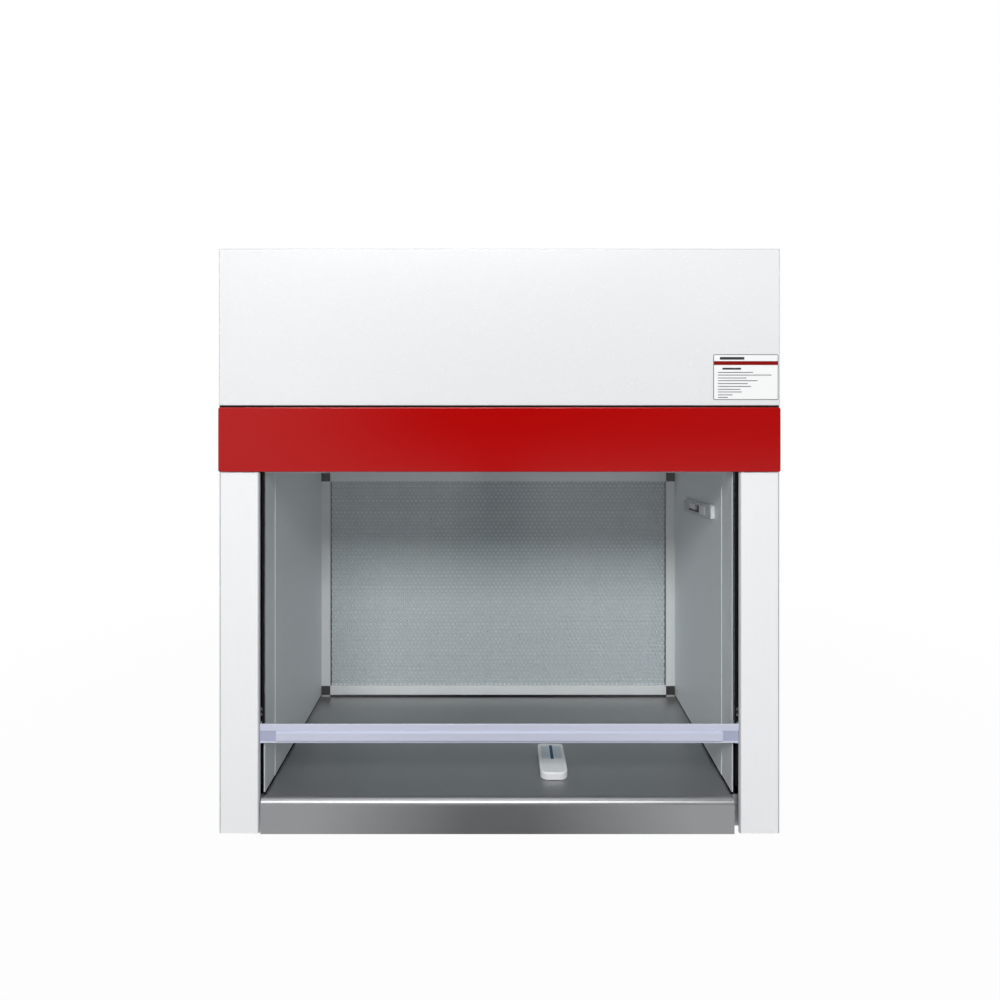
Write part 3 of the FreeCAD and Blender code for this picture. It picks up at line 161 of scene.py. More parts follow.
# Cables: their size, how far the sash goes up and down, and how far the upper length stays off the eye
CABLE_RADIUS = 0.00072
LOWER_CABLE_SHARE = 0.94
SASH_RISE = 0.230
SASH_DROP = 0.080
EYE_REACH = 0.012

# Grain of the finishes, per metre along each axis
SIDEWAYS_GRAIN = (14, 1500, 1500)
UPRIGHT_GRAIN = (900, 900, 30)
PLASTIC_GRAIN = (900, 900, 900)
EVEN_GRAIN = (700, 700, 700)

# Finishes by material slot: colour as it looks on screen, roughness, and what differs from surface()
FINISHES = {
    "white_paint": ((234, 235, 237), 0.24,
        dict(grain=(500, 500, 500), colour_change=0.008, bump=0.00003, gloss=1.0)),
    "red_paint": ((174, 1, 1), 0.17,
        dict(grain=EVEN_GRAIN, colour_change=0.02, rough_change=0.03, bump=0.00001, gloss=0.31)),
    "post_steel": ((245, 246, 248), 0.40,
        dict(metal=0.08, grain=UPRIGHT_GRAIN, colour_change=0.012, rough_change=0.05, bump=0.00004,
             gloss=0.7)),
    "cover_steel": ((226, 228, 229), 0.42,
        dict(grain=EVEN_GRAIN, colour_change=0.02, rough_change=0.05, bump=0.0001)),
    "worktop_steel": ((150, 152, 153), 0.36,
        dict(metal=0.8, grain=SIDEWAYS_GRAIN, colour_change=0.02, bump=0.00003)),
    "wall_steel": ((230, 234, 237), 0.45,
        dict(metal=0.05, grain=UPRIGHT_GRAIN, colour_change=0.012, rough_change=0.05, bump=0.00005,
             gloss=0.3)),
    "screen_frame": ((232, 234, 235), 0.42,
        dict(metal=0.05, grain=(14, 900, 14), colour_change=0.012, rough_change=0.05, bump=0.00005)),
    "corner_plastic": ((5, 6, 7), 0.6, dict(gloss=0.05)),
    "screen_sheet": ((184, 193, 198), 0.55,
        dict(grain=EVEN_GRAIN, colour_change=0.02, rough_change=0.05, bump=0.00005, gloss=0.2)),
    "zinc_sheet": ((158, 161, 163), 0.45,
        dict(metal=0.7, grain=(120, 120, 120), colour_change=0.10, rough_change=0.08, bump=0.0001)),
    "zinc_parts": ((176, 178, 180), 0.38,
        dict(metal=0.8, colour_change=0.06, rough_change=0.08, bump=0.0001)),
    # Sash rails near black in place of zinc: painted shade in the slot beside the posts.
    "rail_black": ((20, 20, 22), 0.5, dict(grain=EVEN_GRAIN, colour_change=0.1, rough_change=0.05)),
    "motor_paint": ((44, 46, 48), 0.5, dict()),
    "filter_aluminium": ((200, 203, 205), 0.36,
        dict(metal=0.8, grain=SIDEWAYS_GRAIN, colour_change=0.04, rough_change=0.05)),
    "filter_paper": ((222, 226, 226), 0.9,
        dict(grain=(1200, 1200, 1200), colour_change=0.04, rough_change=0.03, bump=0.0003)),
    "filter_glue": ((240, 242, 240), 0.45, dict()),
    "filter_foam": ((52, 52, 54), 0.9,
        dict(grain=(1500, 1500, 1500), colour_change=0.15, rough_change=0.03, bump=0.0004)),
    "prefilter_fleece": ((214, 219, 222), 0.95,
        dict(grain=PLASTIC_GRAIN, colour_change=0.1, rough_change=0.02, bump=0.0006)),
    "grille_steel": ((228, 230, 231), 0.42,
        dict(grain=EVEN_GRAIN, colour_change=0.02, rough_change=0.05, bump=0.0001)),
    "box_paint": ((160, 162, 163), 0.5, dict()),
    "lamp_glass": ((240, 242, 243), 0.18,
        dict(grain=EVEN_GRAIN, colour_change=0.01, rough_change=0.02, bump=0.00002)),
    "holder_plastic": ((232, 232, 228), 0.45, dict()),
    "outlet_plastic": ((200, 204, 206), 0.30, dict()),
    "shutter_plastic": ((252, 253, 253), 0.30, dict()),
    "black_plastic": ((26, 26, 28), 0.42,
        dict(grain=PLASTIC_GRAIN, colour_change=0.15, rough_change=0.06)),
    "rocker_plastic": ((22, 22, 24), 0.22, dict(grain=EVEN_GRAIN, colour_change=0.1, rough_change=0.03)),
    "handle_aluminium": ((204, 208, 226), 0.55,
        dict(metal=0.25, grain=SIDEWAYS_GRAIN, colour_change=0.012, bump=0.00005)),
    "bracket_steel": ((120, 122, 132), 0.36,
        dict(metal=0.8, grain=EVEN_GRAIN, colour_change=0.05, rough_change=0.06)),
    "runner_nylon": ((232, 232, 228), 0.5, dict()),
    "cable_steel": ((92, 93, 95), 0.34,
        dict(metal=0.9, grain=(900, 900, 2500), colour_change=0.2, rough_change=0.1, bump=0.0003)),
    "eye_steel": ((214, 216, 218), 0.16,
        dict(metal=1.0, grain=EVEN_GRAIN, rough_change=0.03, bump=0.00002)),
    "weight_iron": ((62, 65, 68), 0.6,
        dict(metal=0.3, grain=(250, 250, 250), colour_change=0.15, rough_change=0.08, bump=0.0004)),
    "pulley_nylon": ((226, 226, 221), 0.45, dict()),
    "remote_plastic": ((236, 238, 239), 0.34, dict(grain=EVEN_GRAIN, colour_change=0.015, bump=0.00003)),
    "remote_face": ((226, 230, 232), 0.30, dict(grain=EVEN_GRAIN, colour_change=0.015, bump=0.00003)),
    "foot_rubber": ((30, 30, 31), 0.8,
        dict(grain=PLASTIC_GRAIN, colour_change=0.15, rough_change=0.05, bump=0.0003)),
    "screw_steel": ((184, 186, 188), 0.3,
        dict(metal=0.9, grain=EVEN_GRAIN, colour_change=0.05, rough_change=0.05, bump=0.00003)),
}


def linear(value):
    """One channel from its look on screen, 0 to 255, to the renderer's value."""
    value = value / 255
    if value <= 0.04045:
        return value / 12.92
    return ((value + 0.055) / 1.055) ** 2.4


def tone(red_bend_shade, green, blue):
    """A colour written as it looks on screen."""
    return (linear(red_bend_shade), linear(green), linear(blue), 1.0)


def link(material, source, target):
    """Join two sockets of a material."""
    material.node_tree.links.new(source, target)


def empty_material(name):
    """A material with only its output left."""
    made = bpy.data.materials.new(name)
    made.use_nodes = True
    tree = made.node_tree
    for node in list(tree.nodes):
        if node.type != "OUTPUT_MATERIAL":
            tree.nodes.remove(node)
    return made, tree.nodes["Material Output"]


def ramp(tree, value, start, end, low, high):
    """A value turned from one range into another, held at both ends."""
    node = tree.nodes.new("ShaderNodeMapRange")
    node.inputs["From Min"].default_value = start
    node.inputs["From Max"].default_value = end
    node.inputs["To Min"].default_value = low
    node.inputs["To Max"].default_value = high
    tree.links.new(value, node.inputs["Value"])
    return node.outputs["Result"]


def combined(tree, operation, first, second):
    """Two values worked out into one."""
    node = tree.nodes.new("ShaderNodeMath")
    node.operation = operation
    tree.links.new(first, node.inputs[0])
    tree.links.new(second, node.inputs[1])
    return node.outputs["Value"]


def noise(material, scale):
    """Noise in the frame's own coordinates, stretched by a scale for each axis, per metre."""
    tree = material.node_tree
    place = tree.nodes.new("ShaderNodeTexCoord")
    mapping = tree.nodes.new("ShaderNodeMapping")
    mapping.inputs["Scale"].default_value = scale
    texture = tree.nodes.new("ShaderNodeTexNoise")
    texture.inputs["Scale"].default_value = 1.0
    texture.inputs["Detail"].default_value = 3.0
    link(material, place.outputs["Object"], mapping.inputs["Vector"])
    link(material, mapping.outputs["Vector"], texture.inputs["Vector"])
    return texture.outputs["Fac"]


def spread(material, factor, low, high):
    """The usual range of a noise turned into values from low to high."""
    return ramp(material.node_tree, factor, 0.3, 0.7, low, high)


def surface(name, colour, rough, metal=0.0, grain=(300, 300, 300), colour_change=0.03, rough_change=0.04,
            bump=0.0002, gloss=0.5):
    """A painted, moulded or brushed surface with its own fine grain."""
    made, output = empty_material(name)
    tree = made.node_tree
    shader = tree.nodes.new("ShaderNodeBsdfPrincipled")
    shader.inputs["Metallic"].default_value = metal
    shader.inputs["Specular IOR Level"].default_value = gloss
    fine = noise(made, grain)
    mix = tree.nodes.new("ShaderNodeMix")
    mix.data_type = "RGBA"
    mix.inputs["A"].default_value = [c * (1 - colour_change) for c in colour[:3]] + [1.0]
    mix.inputs["B"].default_value = [min(1.0, c * (1 + colour_change)) for c in colour[:3]] + [1.0]
    link(made, spread(made, fine, 0.0, 1.0), mix.inputs["Factor"])
    link(made, mix.outputs["Result"], shader.inputs["Base Color"])
    least = max(0.02, rough - rough_change)
    link(made, spread(made, fine, least, rough + rough_change), shader.inputs["Roughness"])
    relief = tree.nodes.new("ShaderNodeBump")
    relief.inputs["Strength"].default_value = 0.35
    relief.inputs["Distance"].default_value = bump
    link(made, fine, relief.inputs["Height"])
    link(made, relief.outputs["Normal"], shader.inputs["Normal"])
    link(made, shader.outputs["BSDF"], output.inputs["Surface"])
    return made


def clear_glass(name):
    """Float glass: clear, with a faint sheen and a faint green tint that changes a little from place to
    place.
    """
    made, output = empty_material(name)
    tree = made.node_tree
    clear = tree.nodes.new("ShaderNodeBsdfTransparent")
    shine = tree.nodes.new("ShaderNodeBsdfGlossy")
    facing = tree.nodes.new("ShaderNodeLayerWeight")
    facing.inputs["Blend"].default_value = 0.5
    steep = tree.nodes.new("ShaderNodeMath")
    steep.operation = "POWER"
    steep.inputs[1].default_value = GLASS_STEEPNESS
    link(made, facing.outputs["Facing"], steep.inputs[0])
    sheen = ramp(tree, steep.outputs["Value"], 0.0, 1.0, GLASS_SHEEN, 1.0)
    smear = noise(made, (6, 6, 2.5))
    link(made, spread(made, smear, 0.02, 0.07), shine.inputs["Roughness"])
    tint = tree.nodes.new("ShaderNodeMix")
    tint.data_type = "RGBA"
    tint.inputs["A"].default_value = GLASS_TINTS[0]
    tint.inputs["B"].default_value = GLASS_TINTS[1]
    link(made, smear, tint.inputs["Factor"])
    link(made, tint.outputs["Result"], clear.inputs["Color"])
    mix = tree.nodes.new("ShaderNodeMixShader")
    link(made, sheen, mix.inputs["Fac"])
    link(made, clear.outputs["BSDF"], mix.inputs[1])
    link(made, shine.outputs["BSDF"], mix.inputs[2])
    link(made, mix.outputs["Shader"], output.inputs["Surface"])
    return made


def make_materials():
    """Every finish, under the record's material slot that it belongs to."""
    made = {}
    for name, (colour, rough, rest) in FINISHES.items():
        made[name] = surface(name, tone(*colour), rough, **rest)
    made["clear_glass"] = clear_glass("clear_glass")
    return made


def dress(materials):
    """Give every node of the frame the material of its slot."""
    for row in frame["record"]["subparts"]:
        mesh = nodes[row["node"]].data
        mesh.materials.clear()
        mesh.materials.append(materials[row["material_slot"]])


def shade_flat_with_soft_bends():
    """Smooth shading across bends and round pieces, with edges kept sharp where faces meet at an angle."""
    for node in nodes.values():
        mesh = node.data
        mesh.polygons.foreach_set("use_smooth", [True] * len(mesh.polygons))
        mesh.set_sharp_from_angle(angle=SHARP_ANGLE)


def piece(name, points, faces, material, body):
    """A mesh piece that moves with a body of the frame."""
    mesh = bpy.data.meshes.new(name)
    mesh.from_pydata(points, [], faces)
    mesh.update()
    made = bpy.data.objects.new(name, mesh)
    bpy.context.scene.collection.objects.link(made)
    mesh.materials.append(material)
    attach(made, body)
    return made


def perforated_sheet(material, rim_glint_material):
    """The air screen with its staggered holes and their raised rims, lighter than the sheet as a painted
    glint, in the place of the plain sheet.
    """
    low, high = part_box("perforated_screen")
    row_step = HOLE_PITCH * math.sqrt(3) / 2
    columns = int((high.x - low.x) / HOLE_PITCH)
    rows = int((high.z - low.z) / row_step)
    left = (low.x + high.x - columns * HOLE_PITCH) / 2
    bottom = (low.z + high.z - rows * row_step) / 2
    outer = [(1, 0), (1, 1), (0, 1), (-1, 1), (-1, 0), (-1, -1), (0, -1), (1, -1)]
    points = []
    faces = []
    for row in range(rows):
        centre_z = bottom + (row + 0.5) * row_step
        shift = 0.5 if row % 2 else 0.0
        for column in range(columns - (row % 2)):
            centre_x = left + (column + 0.5 + shift) * HOLE_PITCH
            first = len(points)
            for radius, y in ((HOLE_RADIUS, low.y - RIM_HEIGHT), (RIM_RADIUS, low.y)):
                for side in range(HOLE_SIDES):
                    angle = side * 2 * math.pi / HOLE_SIDES
                    points.append((centre_x + radius * math.cos(angle), y,
                                   centre_z + radius * math.sin(angle)))
            for u, v in outer:
                points.append((centre_x + u * HOLE_PITCH / 2, low.y, centre_z + v * row_step / 2))
            for ring in (0, 1):
                inner = first + ring * HOLE_SIDES
                for side in range(HOLE_SIDES):
                    following = (side + 1) % HOLE_SIDES
                    faces.append((inner + side, inner + HOLE_SIDES + side, inner + HOLE_SIDES + following,
                                  inner + following))
    made = piece("air_screen", points, faces, material, "cabinet")
    # The rim cones get a lighter tone than the sheet: painted glint.
    made.data.materials.append(rim_glint_material)
    for index, polygon in enumerate(made.data.polygons):
        if index % (2 * HOLE_SIDES) < HOLE_SIDES:
            polygon.material_index = 1
    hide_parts("perforated_screen")


def pleats(material):
    """Folded filter paper behind the screen, in the place of the plain pack."""
    low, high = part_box("filter_pleat_pack")
    count = int((high.x - low.x) / PLEAT_PITCH)
    step = (high.x - low.x) / count
    points = []
    for fold in range(2 * count + 1):
        x = low.x + fold * step / 2
        y = low.y + (PLEAT_DEPTH if fold % 2 == 0 else 0.0)
        points.append((x, y, low.z))
        points.append((x, y, high.z))
    faces = [(2 * i, 2 * i + 2, 2 * i + 3, 2 * i + 1) for i in range(2 * count)]
    back = len(points)
    points += [(low.x, high.y, low.z), (high.x, high.y, low.z),
               (high.x, high.y, high.z), (low.x, high.y, high.z)]
    faces.append((back, back + 1, back + 2, back + 3))
    made = piece("filter_pleats", points, faces, material, "cabinet")
    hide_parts("filter_pleat_pack")


def rounded_plate(name, left, right, bottom, top, radius, front_y, rear_y, material, body):
    """A thin plate with round corners that faces the front."""
    outline = []
    steps = 6
    corners = ((right - radius, top - radius, 0), (left + radius, top - radius, 90),
               (left + radius, bottom + radius, 180), (right - radius, bottom + radius, 270))
    for centre_x, centre_z, start in corners:
        for step in range(steps + 1):
            angle = math.radians(start + 90 * step / steps)
            outline.append((centre_x + radius * math.cos(angle), centre_z + radius * math.sin(angle)))
    count = len(outline)
    points = [(x, front_y, z) for x, z in outline] + [(x, rear_y, z) for x, z in outline]
    faces = [tuple(range(count)), tuple(range(2 * count - 1, count - 1, -1))]
    faces += [(i, i + count, (i + 1) % count + count, (i + 1) % count) for i in range(count)]
    return piece(name, points, faces, material, body)


def instruction_plate():
    """The plate on the upper panel: a grey border, a white field, a red stripe and plain rules."""
    finishes = {
        "border": surface("plate_border", tone(92, 92, 97), 0.5),
        "field": surface("plate_field", tone(246, 247, 247), 0.4, grain=EVEN_GRAIN, colour_change=0.01),
        "stripe": surface("plate_stripe", tone(134, 6, 3), 0.5, gloss=0.1),
        "rule": surface("plate_rule", tone(84, 86, 92), 0.5),
        "heading": surface("plate_heading", tone(26, 26, 30), 0.5),
    }
    panel_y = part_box("upper_front_panel")[0].y

    def layer(name, kind, left, right, bottom, top, corner=PRINT_CORNER):
        front, rear = PLATE_LAYERS[kind]
        rounded_plate(name, left, right, bottom, top, corner, panel_y - front, panel_y - rear,
                      finishes[kind], "cabinet")

    left = PLATE_LEFT + PLATE_BORDER
    right = PLATE_RIGHT - PLATE_BORDER
    layer("plate_border", "border", PLATE_LEFT, PLATE_RIGHT, PLATE_BOTTOM, PLATE_TOP, PLATE_CORNER)
    layer("plate_field", "field", left, right, PLATE_BOTTOM + PLATE_BORDER, PLATE_TOP - PLATE_BORDER,
          PLATE_CORNER - PLATE_BORDER)
    layer("plate_stripe", "stripe", left, right, *PLATE_STRIPE)
    for index, (start, height, length, half) in enumerate(PLATE_HEADINGS):
        layer("plate_heading_%d" % index, "heading", start, start + length, height - half, height + half)
    for index, (height, length) in enumerate(PLATE_RULES):
        layer("plate_rule_%d" % index, "rule", PLATE_RULES_LEFT, PLATE_RULES_LEFT + length,
              height - PLATE_RULE_HALF, height + PLATE_RULE_HALF)


def tube(name, x, y, bottom, top, radius, material, body, sides=12):
    """An upright round bar."""
    ring = [(radius * math.cos(2 * math.pi * i / sides), radius * math.sin(2 * math.pi * i / sides))
            for i in range(sides)]
    points = [(x + u, y + v, bottom) for u, v in ring] + [(x + u, y + v, top) for u, v in ring]
    faces = [(i, (i + 1) % sides, (i + 1) % sides + sides, i + sides) for i in range(sides)]
    faces += [tuple(reversed(range(sides))), tuple(range(sides, 2 * sides))]
    made = piece(name, points, faces, material, body)
    made.data.polygons.foreach_set("use_smooth", [True] * sides + [False, False])
    return made


def sash_cables(material):
    """Each front cable as a length that hangs from the pulley and a length that rises with the sash."""
    low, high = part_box("sash_cables")
    y = (low.y + high.y) / 2
    reach = high.x - (high.y - low.y) / 2
    split = low.z + SASH_RISE + EYE_REACH
    for side, word in ((-1, "left"), (1, "right")):
        fixed = tube(word + "_cable_upper", side * reach, y, split, high.z, CABLE_RADIUS, material, "cabinet")
        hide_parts("sash_cables")
        tube(word + "_cable_lower", side * reach, y, low.z, split + SASH_DROP,
             CABLE_RADIUS * LOWER_CABLE_SHARE, material, "sash")


def remote_marks():
    """The blue bar and the two pale fields on the face of the remote control."""
    low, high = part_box("remote_keypad")
    bar = surface("remote_bar", tone(18, 72, 120), 0.3, grain=EVEN_GRAIN, gloss=0.2)
    pale = surface("remote_field", tone(196, 208, 216), 0.3, grain=EVEN_GRAIN, colour_change=0.02)
    middle = (low.x + high.x) / 2
    bottom = high.z - REMOTE_MARK_SUNK
    top = high.z + REMOTE_MARK_RISE
    far = high.y - REMOTE_BAR_END
    near = far - REMOTE_BAR_LENGTH
    block("remote_bar", middle - REMOTE_BAR_HALF, middle + REMOTE_BAR_HALF, near, far, bottom, top, bar,
          "remote_control")
    field_near = near + REMOTE_FIELD_ENDS[0]
    field_far = far - REMOTE_FIELD_ENDS[1]
    for word, side in (("left", -1), ("right", 1)):
        x0, x1 = sorted((middle + side * REMOTE_FIELD[0], middle + side * REMOTE_FIELD[1]))
        block("remote_field_" + word, x0, x1, field_near, field_far, bottom, top, pale, "remote_control")


def block(name, x0, x1, y0, y1, z0, z1, material, body):
    """A straight strip between two corners."""
    points = [(x, y, z) for z in (z0, z1) for x, y in ((x0, y0), (x1, y0), (x1, y1), (x0, y1))]
    faces = [(3, 2, 1, 0), (4, 5, 6, 7), (0, 1, 5, 4), (1, 2, 6, 5), (2, 3, 7, 6), (3, 0, 4, 7)]
    return piece(name, points, faces, material, body)


def painted_shadow_strips():
    """Near-black strips as painted shadow in the gaps: beside the glass, under the walls, behind the tray,
    around the screen, over the fascia.
    """
    # Near-black strips stand in for the shadow in each gap: painted shadow.
    shadow_black = surface("painted_shadow_black", tone(16, 16, 17), 0.7, grain=PLASTIC_GRAIN, colour_change=0.15,
                   rough_change=0.05, bump=0.0001, gloss=0.1)
    glass_low, glass_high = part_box("sash_glass")
    bar_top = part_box("sash_handle_bar")[1].z
    for word, edge, out in (("left", glass_low.x, -1), ("right", glass_high.x, 1)):
        near, far = sorted((edge + out * SHADOW_FIT / 2, edge + out * GLASS_SHADOW_STRIP))
        block("glass_painted_shadow_" + word, near, far, glass_low.y + SHADOW_FIT, glass_high.y - SHADOW_FIT, bar_top,
              glass_high.z, shadow_black, "sash")
    tray_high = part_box("worktop")[1]
    screen_low, screen_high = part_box("screen_end_rails")
    for word, out in (("left", -1), ("right", 1)):
        wall_low, wall_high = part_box(word + "_inner_wall")
        face = wall_high.x if out < 0 else wall_low.x
        near, far = sorted((face + out * SHADOW_FIT, face + out * (SHADOW_FIT + SHADOW_STRIP)))
        block("tray_painted_shadow_" + word, near, far, wall_low.y + TRAY_SHADOW_SETBACK, screen_low.y, tray_high.z,
              wall_low.z, shadow_black, "cabinet")
    block("tray_painted_shadow_rear", screen_low.x, screen_high.x, tray_high.y + SHADOW_FIT / 2,
          screen_low.y + REAR_SHADOW_LAP, tray_high.z - REAR_SHADOW_DROP, screen_low.z, shadow_black, "cabinet")
    sheet_low, sheet_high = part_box("perforated_screen")
    for word, x in (("left", screen_low.x), ("right", screen_high.x - SCREEN_LINE)):
        block("screen_line_" + word, x, x + SCREEN_LINE, sheet_low.y - SCREEN_LINE_RISE[1],
              sheet_low.y - SCREEN_LINE_RISE[0], sheet_low.z + SCREEN_LINE_END,
              sheet_high.z - SCREEN_LINE_END, shadow_black, "cabinet")
    fascia_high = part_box("control_fascia")[1]
    panel_low, panel_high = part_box("upper_front_panel")
    block("fascia_painted_shadow", panel_low.x + FASCIA_SHADOW_END, panel_high.x - FASCIA_SHADOW_END,
          panel_high.y - FASCIA_SHADOW_DEPTH, panel_high.y - SHADOW_FIT, fascia_high.z + SHADOW_FIT / 2,
          panel_low.z - SHADOW_FIT / 2, shadow_black, "cabinet")


def wall_seams():
    """The line where the front strip of each wall meets the rest, as a low bead in a lighter tone than the
    wall: a painted highlight.
    """
    # The bead is a real edge, and its lighter tone than the wall steel is a painted highlight.
    bright = surface("seam_painted_highlight", tone(240, 242, 243), 0.35, metal=0.1, grain=(900, 900, 60),
                     colour_change=0.02, rough_change=0.05, bump=0.00003)
    for word, out in (("left", 1), ("right", -1)):
        wall_low, wall_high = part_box(word + "_inner_wall")
        face = wall_high.x if out > 0 else wall_low.x
        face = face - out * SEAM_SUNK
        profile = []
        for step in range(7):
            angle = math.pi * step / 6
            profile.append((face + out * (SEAM_HEIGHT + SEAM_SUNK) * math.sin(angle),
                            SEAM_PLACE - SEAM_WIDTH / 2 * math.cos(angle)))
        count = len(profile)
        points = [(x, y, z) for z in (wall_low.z, SEAM_TOP) for x, y in profile]
        faces = [(i, (i + 1) % count, (i + 1) % count + count, i + count) for i in range(count)]
        piece("wall_seam_" + word, points, faces, bright, "cabinet")


def paint_faces(name, material, inside):
    """Give the faces of a node whose centre passes a test another material."""
    node = nodes[name]
    mesh = node.data
    mesh.materials.append(material)
    index = len(mesh.materials) - 1
    for polygon in mesh.polygons:
        if inside(node.matrix_world @ polygon.center):
            polygon.material_index = index


def painted_shade_and_two_tone_parts():
    """Painted shade on the handle's channel and the walls' front edges; on the outlet a white pad, a painted
    highlight on its near end and painted shade in its recess.
    """
    # Darker lavender on the channel faces of the handle: painted shade in the channel.
    channel_shade = surface("handle_channel_painted_shade", tone(172, 177, 202), 0.5, metal=0.2, grain=SIDEWAYS_GRAIN,
                      colour_change=0.012, bump=0.00003)
    front_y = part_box("sash_handle_bar")[0].y
    grip_low, grip_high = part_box("sash_grip")

    def in_channel(centre):
        return (CHANNEL_DEPTH[0] < centre.y - front_y < CHANNEL_DEPTH[1]
                and grip_low.z - CHANNEL_REACH < centre.z < grip_high.z + CHANNEL_REACH)

    for name in ("sash_handle_bar", "sash_brackets"):
        paint_faces(name, channel_shade, in_channel)

    # Darker grey on the front few millimetres of each wall: painted shade beside the posts.
    edge = surface("wall_edge_painted_shade", tone(196, 200, 203), 0.45, metal=0.1, grain=UPRIGHT_GRAIN,
                   colour_change=0.012, rough_change=0.05, bump=0.00003)
    for name in ("left_inner_wall", "right_inner_wall"):
        wall_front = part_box(name)[0].y
        paint_faces(name, edge, lambda centre: centre.y < wall_front + WALL_EDGE_DEPTH)

    def along(centre):
        y = centre.y - OUTLET_PIVOT[0]
        z = centre.z - OUTLET_PIVOT[1]
        return (y * math.cos(OUTLET_TILT) - z * math.sin(OUTLET_TILT),
                y * math.sin(OUTLET_TILT) + z * math.cos(OUTLET_TILT))

    def on_pad_or_near_end(centre):
        return centre.x < OUTLET_PAD_FACE or along(centre)[0] < OUTLET_NEAR_END

    def in_recess(centre):
        length, height = along(centre)
        near, far, half = OUTLET_WINDOW
        return near < length < far and abs(height) < half and centre.x > OUTLET_RECESS_FLOOR

    # White on the pad as its own colour and on the near end as a painted highlight; near black in the recess
    # as painted shade.
    pad_and_end_highlight = surface("outlet_pad_and_end_highlight", tone(232, 234, 235), 0.35)
    recess_shade = surface("outlet_recess_painted_shade", tone(20, 21, 23), 0.5, gloss=0.2)
    paint_faces("outlet_bezel", pad_and_end_highlight, on_pad_or_near_end)
    paint_faces("outlet_bezel", recess_shade, in_recess)


def shade_bends():
    """The round edges of the painted panels, the fascia and the grip in a darker tone: painted shade on the
    bends.
    """
    # Greyer white, darker red and darker lavender on the bends: painted shade.
    bend_shade = surface("bend_painted_shade", tone(188, 192, 196), 0.4, grain=EVEN_GRAIN, colour_change=0.01, bump=0.00003)
    red_bend_shade = surface("red_bend_painted_shade", tone(158, 4, 3), 0.2, grain=EVEN_GRAIN, colour_change=0.02, rough_change=0.03,
                  bump=0.00002)
    grip_bend_shade = surface("grip_bend_painted_shade", tone(188, 192, 211), 0.6, metal=0.2, grain=SIDEWAYS_GRAIN,
                   colour_change=0.012, bump=0.00003)
    panels = (("upper_front_panel", bend_shade), ("left_side_cover", bend_shade), ("right_side_cover", bend_shade),
              ("control_fascia", red_bend_shade), ("sash_grip", grip_bend_shade))
    for name, material in panels:
        mesh = nodes[name].data
        mesh.materials.append(material)
        index = len(mesh.materials) - 1
        for polygon in mesh.polygons:
            if max(abs(value) for value in polygon.normal) < BEND_FLATNESS:
                polygon.material_index = index


def seen_directly(tree):
    """1 for rays from the camera, also through glass, and 0 for the rest."""
    path = tree.nodes.new("ShaderNodeLightPath")
    return combined(tree, "MAXIMUM", path.outputs["Is Camera Ray"], path.outputs["Is Transmission Ray"])


def seen_in_reflections(tree):
    """1 for rays from glossy reflections and 0 for the rest."""
    path = tree.nodes.new("ShaderNodeLightPath")
    return path.outputs["Is Glossy Ray"]


def pale_floor():
    """A pale floor that keeps the shadow and is white for the camera further out."""
    made, output = empty_material("floor")
    tree = made.node_tree
    diffuse = tree.nodes.new("ShaderNodeBsdfDiffuse")
    diffuse.inputs["Color"].default_value = FLOOR_TONE
    glow = tree.nodes.new("ShaderNodeEmission")
    glow.inputs["Color"].default_value = WHITE
    place = tree.nodes.new("ShaderNodeTexCoord")
    parts = tree.nodes.new("ShaderNodeSeparateXYZ")
    link(made, place.outputs["Object"], parts.inputs["Vector"])
    sideways = tree.nodes.new("ShaderNodeMath")
    sideways.operation = "ABSOLUTE"
    link(made, parts.outputs["X"], sideways.inputs[0])
    reflected = ramp(tree, sideways.outputs["Value"], *FLOOR_REFLECTED_REACH, *FLOOR_REFLECTED)
    link(made, combined(tree, "MAXIMUM", seen_directly(tree), reflected), glow.inputs["Strength"])
    distance = tree.nodes.new("ShaderNodeVectorMath")
    distance.operation = "LENGTH"
    link(made, place.outputs["Object"], distance.inputs[0])
    fade = ramp(tree, distance.outputs["Value"], *FLOOR_FADE, FLOOR_GLOW, 1.0)
    watched = combined(tree, "MAXIMUM", seen_directly(tree), seen_in_reflections(tree))
    mix = tree.nodes.new("ShaderNodeMixShader")
    link(made, combined(tree, "MULTIPLY", watched, fade), mix.inputs["Fac"])
    link(made, diffuse.outputs["BSDF"], mix.inputs[1])
    link(made, glow.outputs["Emission"], mix.inputs[2])
    link(made, mix.outputs["Shader"], output.inputs["Surface"])
    mesh = bpy.data.meshes.new("floor")
    half = FLOOR_SIZE
    corners = [(-half, -half, 0), (half, -half, 0), (half, half, 0), (-half, half, 0)]
    mesh.from_pydata(corners, [], [(0, 1, 2, 3)])
    mesh.materials.append(made)
    floor = bpy.data.objects.new("floor", mesh)
    bpy.context.scene.collection.objects.link(floor)


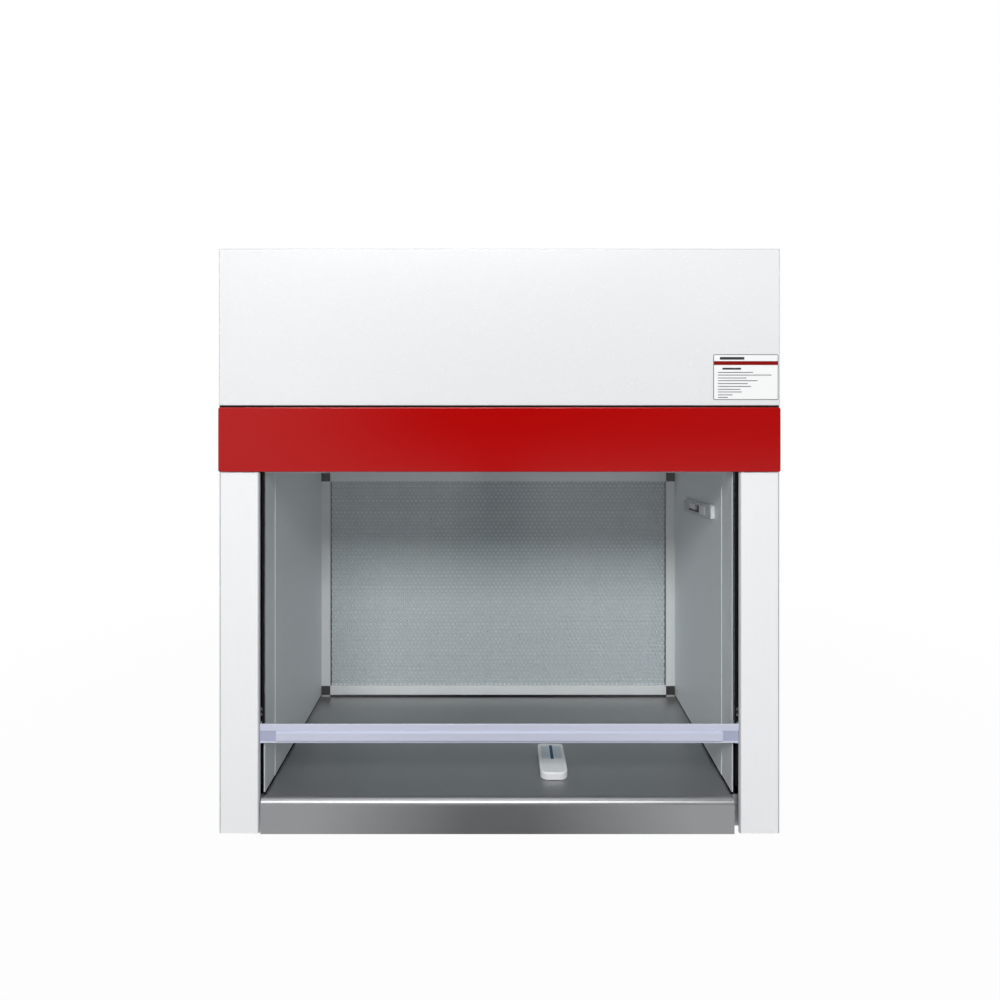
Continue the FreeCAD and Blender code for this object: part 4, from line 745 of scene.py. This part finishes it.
def surroundings():
    """White for the camera, dim for the light on the object, and a room with bright sides in reflections."""
    world = bpy.data.worlds.new("surroundings")
    bpy.context.scene.world = world
    world.use_nodes = True
    tree = world.node_tree
    background = tree.nodes["Background"]
    background.inputs["Color"].default_value = WHITE
    place = tree.nodes.new("ShaderNodeTexCoord")
    parts = tree.nodes.new("ShaderNodeSeparateXYZ")
    tree.links.new(place.outputs["Generated"], parts.inputs["Vector"])
    to_left = ramp(tree, parts.outputs["X"], *ROOM_LEFT_REACH, 0.0, 1.0)
    to_right = ramp(tree, parts.outputs["X"], *ROOM_RIGHT_REACH, 0.0, ROOM_RIGHT)
    backwards = ramp(tree, parts.outputs["Y"], *ROOM_BACK_REACH, 0.0, 1.0)
    bright = combined(tree, "MAXIMUM", combined(tree, "MAXIMUM", to_left, to_right), backwards)
    reflected = combined(tree, "MULTIPLY", ramp(tree, bright, 0.0, 1.0, ROOM_FRONT, 1.0),
                         seen_in_reflections(tree))
    seen = combined(tree, "MAXIMUM", seen_directly(tree), reflected)
    others = ramp(tree, seen_in_reflections(tree), 0.0, 1.0, ROOM_LIGHT, 0.0)
    tree.links.new(combined(tree, "MAXIMUM", seen, others), background.inputs["Strength"])


def softbox(name, place, aim, width, height, power):
    """A large soft lamp that points at a place."""
    data = bpy.data.lights.new(name, "AREA")
    data.shape = "RECTANGLE"
    data.size = width
    data.size_y = height
    data.energy = power
    lamp = bpy.data.objects.new(name, data)
    bpy.context.scene.collection.objects.link(lamp)
    lamp.location = place
    direction = Vector(aim) - Vector(place)
    lamp.rotation_euler = direction.to_track_quat("-Z", "Y").to_euler()


def lights():
    """The soft lamps of the studio."""
    for name, values in LAMPS.items():
        softbox(name, *values)


def camera():
    """A level camera in front of the cabinet, with the picture shifted to the photograph's frame."""
    data = bpy.data.cameras.new("camera")
    data.lens = CAMERA_LENS
    data.sensor_width = 36.0
    data.shift_x = CAMERA_SHIFT[0]
    data.shift_y = CAMERA_SHIFT[1]
    made = bpy.data.objects.new("camera", data)
    bpy.context.scene.collection.objects.link(made)
    made.location = CAMERA_PLACE
    made.rotation_euler = (math.radians(90), 0.0, 0.0)
    bpy.context.scene.camera = made


materials = make_materials()
dress(materials)
shade_flat_with_soft_bends()
# The screen rims in a lighter tone than the sheet: painted glint.
perforated_sheet(materials["screen_sheet"], surface("screen_rim_painted_glint", tone(228, 233, 236), 0.4, gloss=0.3))
pleats(materials["filter_paper"])
instruction_plate()
sash_cables(materials["cable_steel"])
remote_marks()
painted_shadow_strips()
wall_seams()
painted_shade_and_two_tone_parts()
shade_bends()
pale_floor()
surroundings()
lights()
camera()
bpy.context.scene.view_settings.view_transform = "Standard"
